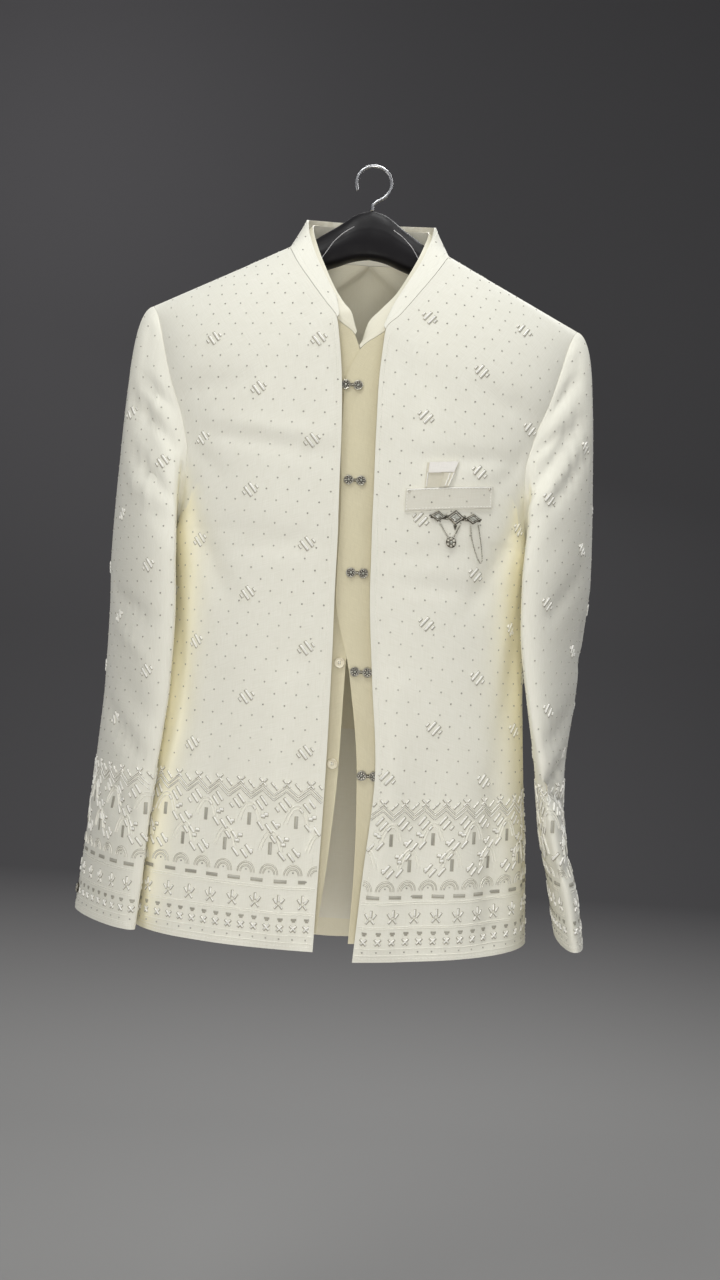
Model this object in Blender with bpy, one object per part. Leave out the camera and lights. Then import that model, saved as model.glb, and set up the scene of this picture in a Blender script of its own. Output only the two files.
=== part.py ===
"""An indo-western sherwani: an open-front jacket with a stand collar, worn over a satin waistcoat,
both hung on a wide moulded hanger.

+X is to the viewer's right, +Y is to the garment's back and +Z is up. The origin is the underside
of the hanger hook's crown. Sizes in the tables are millimetres, and solid() turns them into metres.

Each cut piece is a wall round a middle surface. A body panel's surface is a row table, where each
row runs from the panel's inner end (neck, front edge or centre back) to its outer end (armhole or
side seam) round one soft corner. Sleeves and collars start on the panels' own edge points.
"""
import math
from collections import namedtuple

import bmesh
import bpy
import numpy as np
from mathutils import Vector
from mathutils.bvhtree import BVHTree

MM = 0.001
SEAM_GAP = 0.3
SEAT_GAP = 0.35
JACKET_WALL = 2.0
COLLAR_WALL = 2.2
VEST_WALL = 1.2
FACING_WALL = 1.0
FULLNESS = 0.63
RIGHT, LEFT = 1, -1

# Jacket fronts. The inner end differs a little between the viewer's left and right, because the
# garment hangs slightly open to the right. steps is how many rows the mesh has to the next line.
FrontRow = namedtuple("FrontRow", "x_left x_right y_in z_left z_right corner x_out y_out z_out steps")
FRONT_ROWS = [
    FrontRow(86, 86, 0, -92, -92, 156, 226, 0, -163, 2),
    FrontRow(83, 83, -24, -99, -99, 190, 221, -9, -170, 2),
    FrontRow(74, 73, -46, -118, -119, 184, 214, -19, -188, 1),
    FrontRow(56, 54, -64, -145, -149, 174, 206, -30, -216, 1),
    FrontRow(39, 35, -76, -168, -176, 162, 196, -40, -248, 1),
    FrontRow(28, 22, -83, -183, -192, 148, 184, -47, -278, 1),
    FrontRow(25, 20, -86, -198, -212, 142, 178, -51, -298, 1),
    FrontRow(19, 18, -91, -245, -252, 138, 173, -54, -322, 2),
    FrontRow(16, 18.5, -95, -300, -306, 146, 174, -48, -353, 1),
    FrontRow(15, 19.5, -97, -345, -352, 162, 179, -34, -380, 1),
    FrontRow(14, 20, -98, -382, -389, 180, 185, -16, -398, 1),
    FrontRow(13.3, 20.7, -98.5, -404, -411, 190, 190, 0, -405, 2),
    FrontRow(13, 22, -99, -450, -457, 186, 186, 0, -450, 3),
    FrontRow(11.5, 29, -100, -532, -540, 190, 190, 0, -540, 3),
    FrontRow(11, 38, -101, -632, -640, 197, 197, 0, -640, 3),
    FrontRow(12, 31.5, -103, -732, -740, 205, 205, 0, -740, 3),
    FrontRow(13, 26.5, -105, -815, -823, 209, 209, 0, -813, 0),
]
NECK_STEPS = 7
VEST_LAST_NECK_ROW = 7
VEST_NECK_STEPS = 8
FRONT_ARMHOLE_STEPS = 14
FRONT_LINES_TO_BORDER = 14

BackRow = namedtuple("BackRow", "x_in y_in z_in corner x_out y_out z_out steps")
BACK_ROWS = [
    BackRow(86, 0, -92, 156, 226, 0, -163, 2),
    BackRow(80, 25, -91, 188, 221, 11, -170, 2),
    BackRow(64, 44, -90, 188, 214, 23, -188, 1),
    BackRow(38, 57, -89, 182, 206, 34, -216, 1),
    BackRow(0, 62, -88, 172, 198, 43, -248, 1),
    BackRow(0, 72, -118, 160, 190, 50, -280, 2),
    BackRow(0, 83, -200, 152, 182, 54, -318, 2),
    BackRow(0, 88, -285, 158, 181, 47, -352, 1),
    BackRow(0, 90, -342, 172, 183, 33, -380, 1),
    BackRow(0, 91, -380, 184, 187, 15, -398, 1),
    BackRow(0, 91, -403, 190, 190, 0, -405, 2),
    BackRow(0, 90, -450, 186, 186, 0, -450, 3),
    BackRow(0, 88, -540, 190, 190, 0, -540, 3),
    BackRow(0, 90, -640, 197, 197, 0, -640, 3),
    BackRow(0, 95, -740, 205, 205, 0, -740, 3),
    BackRow(0, 100, -818, 209, 209, 0, -813, 0),
]
BACK_NECK_STEPS = 6
BACK_LINES_TO_UNDERARM = 10
BACK_LINES_TO_BORDER = 13
BACK_NECK_LINES = 4
FRONT_COLUMNS = 11
BACK_COLUMNS = 9

# Stand collar: where the top edge lies for each neck row, from the front end round to the back.
CollarTop = namedtuple("CollarTop", "x y z")
JACKET_NECK_LINES, VEST_NECK_LINES = 5, 6
COLLAR_TOP = [
    CollarTop(30, -70, -158),
    CollarTop(36, -62, -148),
    CollarTop(46, -49, -128),
    CollarTop(56, -33, -106),
    CollarTop(64, -15, -80),
    CollarTop(68, 0, -62),
    CollarTop(69, 22, -53),
    CollarTop(53, 41, -47),
    CollarTop(29, 52, -44),
    CollarTop(0, 56, -43),
]
COLLAR_TOP_RIGHT = [CollarTop(27, -71, -168)] + COLLAR_TOP[1:]
COLLAR_KNEE = 3.2
COLLAR_GAP = 0.45

# Sleeves, from the biceps to the cuff. A section is a flattened ring: centre, how far its long
# axis turns from +X towards the back, half its flat width, and how far each side bulges.
SleeveRow = namedtuple("SleeveRow", "x y z turn half out inner steps")
LEFT_SLEEVE_ROWS = [
    SleeveRow(216, -5, -435, 63, 82, 31, 12, 2),
    SleeveRow(214, -5, -490, 62, 82, 30, 12, 2),
    SleeveRow(215, -6, -560, 61, 80, 28, 11, 2),
    SleeveRow(221, -9, -640, 60, 75, 25, 10, 1),
    SleeveRow(226, -13, -700, 58, 70, 22, 9, 1),
    SleeveRow(230, -17, -755, 55, 66, 19, 9, 2),
    SleeveRow(235, -21, -812, 52, 62, 16, 9, 0),
]
RIGHT_SLEEVE_ROWS = [
    SleeveRow(216, -5, -435, 62, 82, 31, 12, 2),
    SleeveRow(215, -7, -490, 64, 81.5, 28, 12, 2),
    SleeveRow(217, -12, -560, 70, 79, 24, 11, 2),
    SleeveRow(220, -20, -628, 78, 74, 17, 11, 2),
    SleeveRow(226, -25, -690, 84, 69, 14, 11, 2),
    SleeveRow(240, -28, -750, 87, 65, 14, 11, 2),
    SleeveRow(250, -30, -803, 88, 62, 13, 11, 0),
]
CAP_RINGS = 7
CAP_PULL = 0.75
CAP_START_REACH = 0.42
CAP_START_SPAN = (40, 150)
CAP_END_REACH = 0.85
UNDERARM_TURN = 0.6
CAP_TURN_IN = 0.5

# The largest folds, pressed into the wall: from, to, half width and depth.
Fold = namedtuple("Fold", "start end width depth")
FOLD_FADE_FROM, FOLD_FADE_SPAN = 0.15, 0.7
LEFT_SLEEVE_FOLDS = [
    Fold((-253, -30, -262), (-196, -76, -345), 13, 4.0),
    Fold((-246, -60, -330), (-190, -82, -398), 12, 4.5),
    Fold((-240, -40, -560), (-190, -84, -600), 16, 3.0),
]
RIGHT_SLEEVE_FOLDS = [
    Fold((250, -30, -240), (206, -70, -300), 12, 4.0),
    Fold((254, -45, -292), (196, -80, -352), 13, 4.5),
    Fold((256, -55, -350), (200, -84, -410), 12, 4.0),
    Fold((262, -30, -600), (214, -96, -654), 13, 6.0),
]
BODY_FOLDS = [
    Fold((-150, -80, -425), (-40, -110, -412), 10, 2.0),
    Fold((40, -110, -446), (140, -85, -452), 10, 2.0),
    Fold((-128, -95, -560), (-140, -105, -830), 20, 4.0),
    Fold((96, -105, -620), (90, -115, -830), 22, 4.0),
    Fold((-60, 90, -420), (-80, 105, -830), 26, 6.0),
    Fold((60, 90, -420), (80, 105, -830), 26, 6.0),
]

# Waistcoat fronts, a line for each jacket front row: x of the inner end on the front's own side,
# negative past the middle, how far the front lies inside the jacket, and the share of the row that
# it reaches. The left front laps under the right one, so it lies further in below the neck.
VestRow = namedtuple("VestRow", "x_left x_right in_left in_right share steps")
VEST_ROWS = [
    VestRow(86, 86, 2.0, 2.0, 0.80, 2),
    VestRow(83, 83, 2.2, 2.2, 0.80, 2),
    VestRow(74, 73, 3.0, 3.0, 0.80, 1),
    VestRow(56, 54, 4.5, 4.5, 0.80, 1),
    VestRow(39, 35, 5.5, 5.5, 0.81, 1),
    VestRow(28, 22, 6.5, 6.5, 0.83, 1),
    VestRow(9, -2, 9.4, 7.0, 0.85, 1),
    VestRow(-4, -16, 10.9, 8.5, 0.86, 2),
    VestRow(-6, -16, 11.2, 8.8, 0.88, 1),
    VestRow(-8, -13, 11.4, 9.0, 0.92, 1),
    VestRow(-8, -12, 11.4, 9.0, 0.96, 1),
    VestRow(-8, -12, 11.4, 9.0, 1.0, 2),
    VestRow(-8, -12, 11.4, 9.0, 1.0, 3),
    VestRow(-2, 6.5, 11.4, 9.0, 1.0, 3),
    VestRow(-1.0, 20, 11.4, 9.0, 1.0, 3),
    VestRow(4, 23, 11.4, 9.0, 1.0, 3),
    VestRow(11, 21.5, 11.4, 9.0, 1.0, 0),
]
VEST_HEM_RISE = 16
INSET_LEVEL_FROM, INSET_LEVEL_SPAN = 4, 4
VEST_COLUMNS = 8
VEST_BACK_COLUMNS = 6
VestBackRow = namedtuple("VestBackRow", "inside side share steps")
VEST_BACK_ROWS = [
    VestBackRow(2.0, 2.0, 0.80, 2),
    VestBackRow(2.2, 2.2, 0.80, 2),
    VestBackRow(2.6, 2.6, 0.80, 1),
    VestBackRow(3.0, 3.0, 0.80, 1),
    VestBackRow(3.5, 3.5, 0.81, 1),
    VestBackRow(5.0, 4.5, 0.83, 2),
    VestBackRow(8.0, 6.0, 0.86, 2),
    VestBackRow(10.0, 8.0, 0.90, 1),
    VestBackRow(12.0, 9.0, 0.94, 1),
    VestBackRow(13.0, 10.2, 0.97, 1),
    VestBackRow(14.0, 10.2, 1.0, 2),
    VestBackRow(16.0, 10.2, 1.0, 3),
    VestBackRow(28.0, 10.2, 1.0, 3),
    VestBackRow(44.0, 10.2, 1.0, 3),
    VestBackRow(53.0, 10.2, 1.0, 3),
    VestBackRow(60.0, 10.2, 1.0, 0),
]
VEST_BACK_HEM_DROP = 14
VEST_BACK_SLACK = 1.6
FACING_TOP, FACING_FOOT, FACING_HALF = -604, -812, 70
FACING_COLUMNS, FACING_ROWS = 6, 6

VEST_COLLAR_SIDE = [
    CollarTop(54, -22, -96),
    CollarTop(62, 0, -67),
    CollarTop(62, 20, -59),
    CollarTop(47, 37, -54),
    CollarTop(26, 47, -52),
    CollarTop(0, 51, -51),
]
VEST_COLLAR_TOP_LEFT = [
    CollarTop(9, -74, -190),
    CollarTop(14, -71, -174),
    CollarTop(22, -66, -164),
    CollarTop(33, -56, -146),
    CollarTop(43, -42, -124),
] + VEST_COLLAR_SIDE
VEST_COLLAR_TOP_RIGHT = [
    CollarTop(-1, -74, -204),
    CollarTop(4, -71, -184),
    CollarTop(16, -65, -168),
    CollarTop(30, -56, -150),
    CollarTop(42, -42, -126),
] + VEST_COLLAR_SIDE

# Moulded hanger: stations along the shoulder, with the height of its crest and of its lower edge.
HangerRow = namedtuple("HangerRow", "x top bottom half steps")
HANGER_ROWS = [
    HangerRow(0, -46, -98, 11, 1),
    HangerRow(14, -50, -100, 12, 1),
    HangerRow(34, -64, -107, 13, 1),
    HangerRow(58, -80, -116, 14, 1),
    HangerRow(84, -97.5, -128, 16, 1),
    HangerRow(106, -105.9, -138, 17, 1),
    HangerRow(140, -123.1, -153, 18, 1),
    HangerRow(172, -139.4, -166, 18, 1),
    HangerRow(194, -151.0, -176, 15, 1),
    HangerRow(210, -162, -178, 9, 0),
]
# Its half section from the crest to the foot: across as a share of half, down as a share of the height.
HANGER_PROFILE = [(0.0, 0.0), (-0.5, 0.17), (-0.86, 0.42), (-1.0, 0.62), (-0.96, 0.84), (-0.7, 0.96)]
HOOK_WIRE = 1.75
HOOK_INNER_RADIUS = 17
HOOK_STEM_FOOT = -45.6
HOOK_OPEN_ANGLE = 205
HOOK_NECK_ANGLE = -62
HOOK_SIDES, HOOK_STEPS = 8, 20

CLASP_PLACES = [(-8.6, -250), (0.2, -346), (8.0, -438.5), (18.0, -537), (31.0, -640)]
CLASP_SEAT = 0.4
CLASP_PITCH, MEDALLION, CLASP_BAR, CLASP_HEIGHT = 12.5, 10.0, 3.0, 2.6
VEST_BUTTONS = [(-4.0, -529), (-5.0, -630)]
VEST_BUTTON = (11.0, 2.4)
CUFF_BUTTON = (11.0, 3.0)
CUFF_BUTTON_Z = {LEFT: -790, RIGHT: -762}
CUFF_BUTTON_Y = 12
BUTTON_SIDES, BUTTON_TOP = 14, 0.72
CLASP_ARC_STEPS, CLASP_TOP = 11, 0.7

WELT_CENTRE, WELT_SIZE, WELT_RISE = (95.3, -358.5), (88, 22), 0.115
WELT_THICK = 1.8
WELT_COLUMNS = 8
SQUARE_FOOT, SQUARE_TOP = (70.0, 93.0), (71.0, 103.0)
SQUARE_HEIGHT, SQUARE_THICK = 25, 1.8
SQUARE_COLUMNS, SQUARE_ROWS = 6, 4

BROOCH_CENTRE = (102.6, -379.0)
BROOCH_OUTLINE = [(-27.5, 0), (-19, 6.5), (-11.5, 1.4), (-8, 1.4), (0, 6.5),
                  (8, 1.4), (11.5, 1.4), (19, 6.5), (27.5, 0)]
BROOCH_TOP = (0.9, 0.6)
BROOCH_THICK = 2.4
BROOCH_SEAT = 0.45
DROP_CENTRE, DROP_RADIUS, DROP_ARM = (-3.4, -23.5), 5.6, 1.0
DROP_ROOTS = ((-15.5, -5.8), (5.0, -5.8))
DROP_THICK, DROP_TRIM, DROP_CROTCH = 1.9, 0.35, 3.2
CHAIN_WIRE, CHAIN_LIFT = 0.8, 1.0
CHAIN_SIDES = 5
CHAIN_ROUTE = [(16, -5.5), (18, -18), (21.5, -29), (26, -39), (28.5, -42),
               (30, -39), (29, -29), (27, -18), (24.0, -3.5)]
FAR_FORWARD, FAR_ASIDE = -400, 400
INSIDE_BACK = -40
SHARP_ANGLE = 40

# Colour, roughness and metallic value of each finish.
FINISHES = {
    "ivory_cloth": ((0.90, 0.88, 0.82), 0.85, 0.0),
    "champagne_satin": ((0.88, 0.82, 0.66), 0.45, 0.0),
    "pale_facing": ((0.85, 0.82, 0.74), 0.80, 0.0),
    "hanger_plastic": ((0.035, 0.036, 0.04), 0.32, 0.0),
    "steel_wire": ((0.62, 0.62, 0.64), 0.25, 1.0),
    "antique_metal": ((0.33, 0.29, 0.22), 0.35, 1.0),
    "pearl": ((0.88, 0.85, 0.78), 0.25, 0.0),
}


def unit(vectors):
    """The vectors at length one."""
    vectors = np.asarray(vectors, float)
    return vectors / np.linalg.norm(vectors, axis=-1, keepdims=True)


def hermite(start, leave, end, arrive, t):
    """A cubic from start to end with the given tangents at its two ends."""
    return ((2 * t ** 3 - 3 * t ** 2 + 1) * start + (t ** 3 - 2 * t ** 2 + t) * leave
            + (3 * t ** 2 - 2 * t ** 3) * end + (t ** 3 - t ** 2) * arrive)


def smooth(knots, values, at):
    """A curve through the values that never overshoots between two knots."""
    knots, values, at = (np.asarray(item, float) for item in (knots, values, at))
    flat = values.ndim == 1
    values = values.reshape(len(knots), -1)
    span = np.diff(knots)[:, None]
    slope = np.diff(values, axis=0) / span
    tangent = np.zeros_like(values)
    tangent[0], tangent[-1] = slope[0], slope[-1]
    before, after = slope[:-1], slope[1:]
    same_way = before * after > 0
    total = np.where(same_way, before + after, 1.0)
    tangent[1:-1] = np.where(same_way, 2 * before * after / total, 0.0)
    place = np.clip(np.searchsorted(knots, at, side="right") - 1, 0, len(knots) - 2)
    step = span[place]
    t = (at - knots[place])[:, None] / step
    result = hermite(values[place], step * tangent[place], values[place + 1], step * tangent[place + 1], t)
    return result[:, 0] if flat else result


def refine(table, guide=None):
    """The table's rows with as many smooth rows between them as each row's steps say. A guide is
    the table whose own changes space the rows, where that is another one."""
    values = np.array([row[:-1] for row in table], float)
    spaced = values if guide is None else np.array([row[:-1] for row in guide], float)
    travel = np.linalg.norm(np.diff(spaced, axis=0), axis=1)
    knots = np.concatenate([[0.0], np.cumsum(travel)])
    at = [knots[i] + travel[i] * k / row.steps for i, row in enumerate(table[:-1]) for k in range(row.steps)]
    return smooth(knots, values, at + [knots[-1]])


def bezier(start, corner, end, t):
    """A row's curve from start to end, bent round its corner."""
    first = start + FULLNESS * (corner - start)
    second = end + FULLNESS * (corner - end)
    rest = 1 - t
    return rest ** 3 * start + 3 * rest ** 2 * t * first + 3 * rest * t ** 2 * second + t ** 3 * end


def row_point(x_in, y_in, z_in, corner, x_out, y_out, z_out, t):
    """A point on a body row. t runs from 0 at the inner end to 1 at the outer end, and a negative
    t is a distance in mm past the inner end, towards and over the middle."""
    if t < 0:
        return (x_in + t, y_in, z_in)
    x, y = bezier(np.array([x_in, y_in]), np.array([corner, y_in]), np.array([x_out, y_out]), t)
    share = (x - x_in) / (x_out - x_in)
    return (x, y, z_in + (z_out - z_in) * share)


def face_normals(points, faces):
    """Each quad's normal, as long as twice its area."""
    corners = points[np.array(faces)]
    return np.cross(corners[:, 2] - corners[:, 0], corners[:, 3] - corners[:, 1])


def vertex_normals(points, faces):
    """Unit normals at the points, from the quads round each."""
    total = np.zeros_like(points)
    for normal, face in zip(face_normals(points, faces), faces):
        for index in face:
            total[index] += normal
    return unit(total)


class Sheet:
    """A middle surface of quads, with a normal at each point and the grid that its points came from."""

    def __init__(self, points, faces, grid=None):
        self.points = np.array(points, float)
        self.faces = [tuple(face) for face in faces]
        self.normals = vertex_normals(self.points, self.faces)
        self.grid = grid

    def level_seam(self, indices, shift):
        """Give a shoulder or side seam a normal with no part towards the back, and set its edge a
        little off the plane y = 0 where the seam lies."""
        for index in indices:
            self.normals[index][1] = 0.0
            self.normals[index] = unit(self.normals[index])
            self.points[index][1] = shift

    def push_folds(self, folds):
        """Press each fold's soft trough into the sheet."""
        for fold in folds:
            start, end = np.array(fold.start, float), np.array(fold.end, float)
            along = end - start
            share = np.clip(((self.points - start) @ along) / (along @ along), 0, 1)
            distance = np.linalg.norm(self.points - (start + share[:, None] * along), axis=1)
            fade = np.sin(math.pi * (FOLD_FADE_FROM + FOLD_FADE_SPAN * share))
            depth = fold.depth * fade * np.exp(-(distance / fold.width) ** 2)
            self.points -= self.normals * depth[:, None]


def quads(grid, outward_across):
    """Quads over a grid of indices. outward_across is True where down, then across, faces out."""
    faces = []
    for upper, lower in zip(grid[:-1], grid[1:]):
        for a, b, c, d in zip(upper[:-1], lower[:-1], lower[1:], upper[1:]):
            faces.append((a, b, c, d) if outward_across else (d, c, b, a))
    return faces


def finish_material(name):
    """The Principled material of a finish, made once."""
    material = bpy.data.materials.get(name)
    if material is None:
        colour, roughness, metallic = FINISHES[name]
        material = bpy.data.materials.new(name)
        material.use_nodes = True
        shader = material.node_tree.nodes["Principled BSDF"]
        shader.inputs["Base Color"].default_value = (*colour, 1.0)
        shader.inputs["Roughness"].default_value = roughness
        shader.inputs["Metallic"].default_value = metallic
        material.diffuse_color = (*colour, 1.0)
    return material


def solid(name, points, faces, finish):
    """One named object from points in millimetres, its faces turned outwards."""
    mesh = bpy.data.meshes.new(name)
    mesh.from_pydata([tuple(MM * float(value) for value in point) for point in points], [], faces)
    shape = bmesh.new()
    shape.from_mesh(mesh)
    bmesh.ops.recalc_face_normals(shape, faces=shape.faces)
    shape.to_mesh(mesh)
    shape.free()
    mesh.shade_smooth()
    mesh.set_sharp_from_angle(angle=math.radians(SHARP_ANGLE))
    mesh.materials.append(finish_material(finish))
    piece = bpy.data.objects.new(name, mesh)
    bpy.context.scene.collection.objects.link(piece)
    return piece


def halved(points, face):
    """A quad as two triangles, cut along its shorter diagonal."""
    a, b, c, d = face
    if np.linalg.norm(points[a] - points[c]) <= np.linalg.norm(points[b] - points[d]):
        return [(a, b, c), (a, c, d)]
    return [(a, b, d), (b, c, d)]


def wall(name, sheet, thickness, finish):
    """A closed wall round a sheet: its outer side, its inner side and the rims between them. Both
    sides are cut into the same triangles, so that the wall keeps its thickness where it twists."""
    half = thickness / 2
    outer = sheet.points + sheet.normals * half
    inner = sheet.points - sheet.normals * half
    count = len(outer)
    skin = [piece for face in sheet.faces for piece in halved(sheet.points, face)]
    faces = skin + [tuple(index + count for index in reversed(face)) for face in skin]
    directed = {(face[k], face[(k + 1) % 4]) for face in sheet.faces for k in range(4)}
    for a, b in sorted(directed):
        if (b, a) not in directed:
            faces.append((b, a, a + count, b + count))
    return solid(name, np.vstack([outer, inner]), faces, finish)


def front_sheet(side):
    """The middle surface of a jacket front."""
    rows = refine(FRONT_ROWS)
    points, grid = [], []
    for x_left, x_right, y_in, z_left, z_right, corner, x_out, y_out, z_out in rows:
        x_in, z_in = (x_right, z_right) if side == RIGHT else (x_left, z_left)
        line = []
        for column in range(FRONT_COLUMNS + 1):
            x, y, z = row_point(x_in, y_in, z_in, corner, x_out, y_out, z_out, column / FRONT_COLUMNS)
            line.append(len(points))
            points.append((side * x, y, z))
        grid.append(line)
    sheet = Sheet(points, quads(grid, side == RIGHT), grid)
    sheet.push_folds(BODY_FOLDS)
    seam = grid[0] + [line[-1] for line in grid[FRONT_ARMHOLE_STEPS:]]
    sheet.level_seam(seam, -SEAM_GAP / 2)
    return sheet


def line_number(table, lines):
    """The number of the mesh row that starts the given line of a table."""
    return sum(row.steps for row in table[:lines])


def back_sheet():
    """The middle surface of the jacket's back, both halves joined down the centre below the neck."""
    rows = refine(BACK_ROWS)
    armhole_end = line_number(BACK_ROWS, BACK_LINES_TO_UNDERARM)
    halves = {}
    points = []
    for side in (RIGHT, LEFT):
        grid = []
        for index, row in enumerate(rows):
            line = []
            for column in range(BACK_COLUMNS + 1):
                if side == LEFT and column == 0 and index >= BACK_NECK_STEPS:
                    line.append(halves[RIGHT][index][0])
                    continue
                x, y, z = row_point(*row, column / BACK_COLUMNS)
                line.append(len(points))
                points.append((side * x, y, z))
            grid.append(line)
        halves[side] = grid
    faces = quads(halves[RIGHT], False) + quads(halves[LEFT], True)
    sheet = Sheet(points, faces, halves)
    sheet.push_folds(BODY_FOLDS)
    for grid in halves.values():
        sheet.level_seam(grid[0] + [line[-1] for line in grid[armhole_end:]], SEAM_GAP / 2)
    return sheet


def edge_loop(pairs, sheets):
    """Points and normals along a loop of panel edges, given as (sheet name, index) pairs. Two
    points that meet at a seam become one between them."""
    points, normals = [], []
    for group in pairs:
        points.append(np.mean([sheets[name].points[index] for name, index in group], axis=0))
        normals.append(unit(np.mean([sheets[name].normals[index] for name, index in group], axis=0)))
    return np.array(points), np.array(normals)


def away(points, normals, closed, check, towards):
    """Unit directions that leave the panels' edge in their own surface. The sign is set so that
    the one at the index check points towards the given direction."""
    if closed:
        tangent = np.roll(points, -1, axis=0) - np.roll(points, 1, axis=0)
    else:
        tangent = np.gradient(points, axis=0)
    direction = unit(np.cross(tangent, normals))
    if direction[check] @ np.array(towards, float) < 0:
        direction = -direction
    return direction


def ring_sheet(rings, closed, flip):
    """A sheet from rings of points, each as long as the next."""
    count = len(rings[0])
    points = np.vstack(rings)
    grid = [[i * count + k for k in range(count)] for i in range(len(rings))]
    lines = [line + [line[0]] for line in grid] if closed else grid
    return Sheet(points, quads(lines, flip), grid)


def sleeve_section(row, side, count):
    """A flattened ring of the sleeve. It starts in the middle of the outer side and goes round by
    the front edge, the side next to the body and the back edge."""
    x, y, z, turn, half, out, inner = row
    angle = math.radians(turn)
    along = np.array([math.cos(angle), math.sin(angle), 0.0])
    aside = np.array([math.sin(angle), -math.cos(angle), 0.0])
    ring = []
    for k in range(count):
        phase = math.pi / 2 + 2 * math.pi * k / count
        bulge = out if math.sin(phase) > 0 else inner
        point = np.array([x, y, z]) + half * math.cos(phase) * along + bulge * math.sin(phase) * aside
        ring.append(point * np.array([side, 1, 1]))
    return np.array(ring)


def sleeve_sheet(side, table, sheets, folds):
    """A sleeve from its armhole to its cuff."""
    front = "front_right" if side == RIGHT else "front_left"
    front_edge = [line[-1] for line in sheets[front].grid]
    back_edge = [line[-1] for line in sheets["back"].grid[side]]
    last = FRONT_ARMHOLE_STEPS
    pairs = [[(front, front_edge[0]), ("back", back_edge[0])]]
    pairs += [[(front, front_edge[k])] for k in range(1, last)]
    pairs += [[(front, front_edge[last]), ("back", back_edge[last])]]
    pairs += [[("back", back_edge[k])] for k in range(last - 1, 0, -1)]
    edge, normals = edge_loop(pairs, sheets)
    leave = away(edge, normals, True, 0, (side, 0, 0))
    start = edge + SEAM_GAP * leave
    rows = refine(table)
    sections = [sleeve_section(row, side, len(start)) for row in rows]
    end = sections[0]
    reach = np.linalg.norm(end - start, axis=1)[:, None]
    level = unit((end - start) * np.array([1, 1, 0]))
    turned = UNDERARM_TURN * np.clip(leave[:, 2:], 0, 1)
    pull = (1 - turned) * leave + (CAP_PULL + turned) * level
    first = CAP_START_REACH * np.clip(reach, *CAP_START_SPAN) * pull
    down = CAP_END_REACH * reach * np.array([0, 0, -1.0])
    rings = [start]
    for k in range(1, CAP_RINGS):
        rings.append(hermite(start, first, end, down, k / CAP_RINGS))
    sheet = ring_sheet(rings + sections, True, side == LEFT)
    sheet.push_folds(folds)
    ring = len(start)
    sheet.points[:ring] = start
    sheet.normals[:ring] = normals
    sheet.normals[ring:2 * ring] = unit(sheet.normals[ring:2 * ring] + CAP_TURN_IN * normals)
    return sheet


def neck_pairs(fronts, back, front_steps):
    """The neck edge from the left front's end round the back to the right front's end."""
    left_name, right_name = fronts
    pairs = [[(left_name, ("left", k))] for k in range(front_steps, 0, -1)]
    pairs += [[(left_name, ("left", 0)), (back, ("back_left", 0))]]
    pairs += [[(back, ("back_left", k))] for k in range(1, BACK_NECK_STEPS)]
    pairs += [[(back, ("back_right", BACK_NECK_STEPS))]]
    pairs += [[(back, ("back_right", k))] for k in range(BACK_NECK_STEPS - 1, 0, -1)]
    pairs += [[(right_name, ("right", 0)), (back, ("back_right", 0))]]
    pairs += [[(right_name, ("right", k))] for k in range(1, front_steps + 1)]
    return pairs


def neck_loop(sheets, left_name, right_name, back_name, front_steps):
    """Points and normals along the whole neck edge."""
    columns = {
        "left": [line[0] for line in sheets[left_name].grid],
        "right": [line[0] for line in sheets[right_name].grid],
        "back_left": [line[0] for line in sheets[back_name].grid[LEFT]],
        "back_right": [line[0] for line in sheets[back_name].grid[RIGHT]],
    }
    pairs = [[(name, columns[edge][k]) for name, (edge, k) in group]
             for group in neck_pairs((left_name, right_name), back_name, front_steps)]
    return edge_loop(pairs, sheets)


def collar_top_points(table, front_lines):
    """The top edge of one half of a collar, a point for each neck row from the front to the back.
    front_lines is how many lines of the table lie in front of the side neck."""
    at = []
    for index in range(front_lines):
        steps = FRONT_ROWS[front_lines - 1 - index].steps
        at += [index + k / steps for k in range(steps)]
    for index, row in enumerate(BACK_ROWS[:BACK_NECK_LINES]):
        at += [front_lines + index + k / row.steps for k in range(row.steps)]
    at.append(len(table) - 1)
    return smooth(range(len(table)), [tuple(row) for row in table], at)


def collar_sheet(edge, normals, left_top, right_top):
    """A band that stands on the neck edge."""
    middle = len(edge) // 2
    leave = away(edge, normals, False, middle, (0, 0, 1))
    start = edge + COLLAR_GAP * leave
    top = np.vstack([left_top * np.array([-1, 1, 1]), right_top[-2::-1]])
    knee = start + COLLAR_KNEE * unit(leave + unit(top - start))
    rings = [start, knee, knee + 0.5 * (top - knee), top]
    sheet = ring_sheet(rings, False, True)
    count = len(start)
    sheet.normals[:count] = normals
    sheet.normals[count:2 * count] = unit(sheet.normals[count:2 * count] + CAP_TURN_IN * normals)
    return sheet


def inset_points(sheet, rows, depth):
    """A sheet's points moved in from the jacket, given as (row number, indices along it). The
    shoulder rows move along the surface's own normals, and the rows below the neck move level, so
    that they stay in order."""
    points = sheet.points.copy()
    for number, line in rows:
        own = sheet.normals[line]
        tangent = np.gradient(sheet.points[line][:, :2], axis=0)
        level = unit(np.column_stack([tangent[:, 1], -tangent[:, 0], np.zeros(len(line))]))
        level *= np.sign(np.sum(level * own, axis=1))[:, None]
        share = min(max((number - INSET_LEVEL_FROM) / INSET_LEVEL_SPAN, 0.0), 1.0)
        points[line] = sheet.points[line] - depth[line][:, None] * unit((1 - share) * own + share * level)
    return points


def vest_side(row, side):
    """The inner end and the depth of a waistcoat front row on one side."""
    x_left, x_right, in_left, in_right, share = row
    return (x_right, in_right, share) if side == RIGHT else (x_left, in_left, share)


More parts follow.
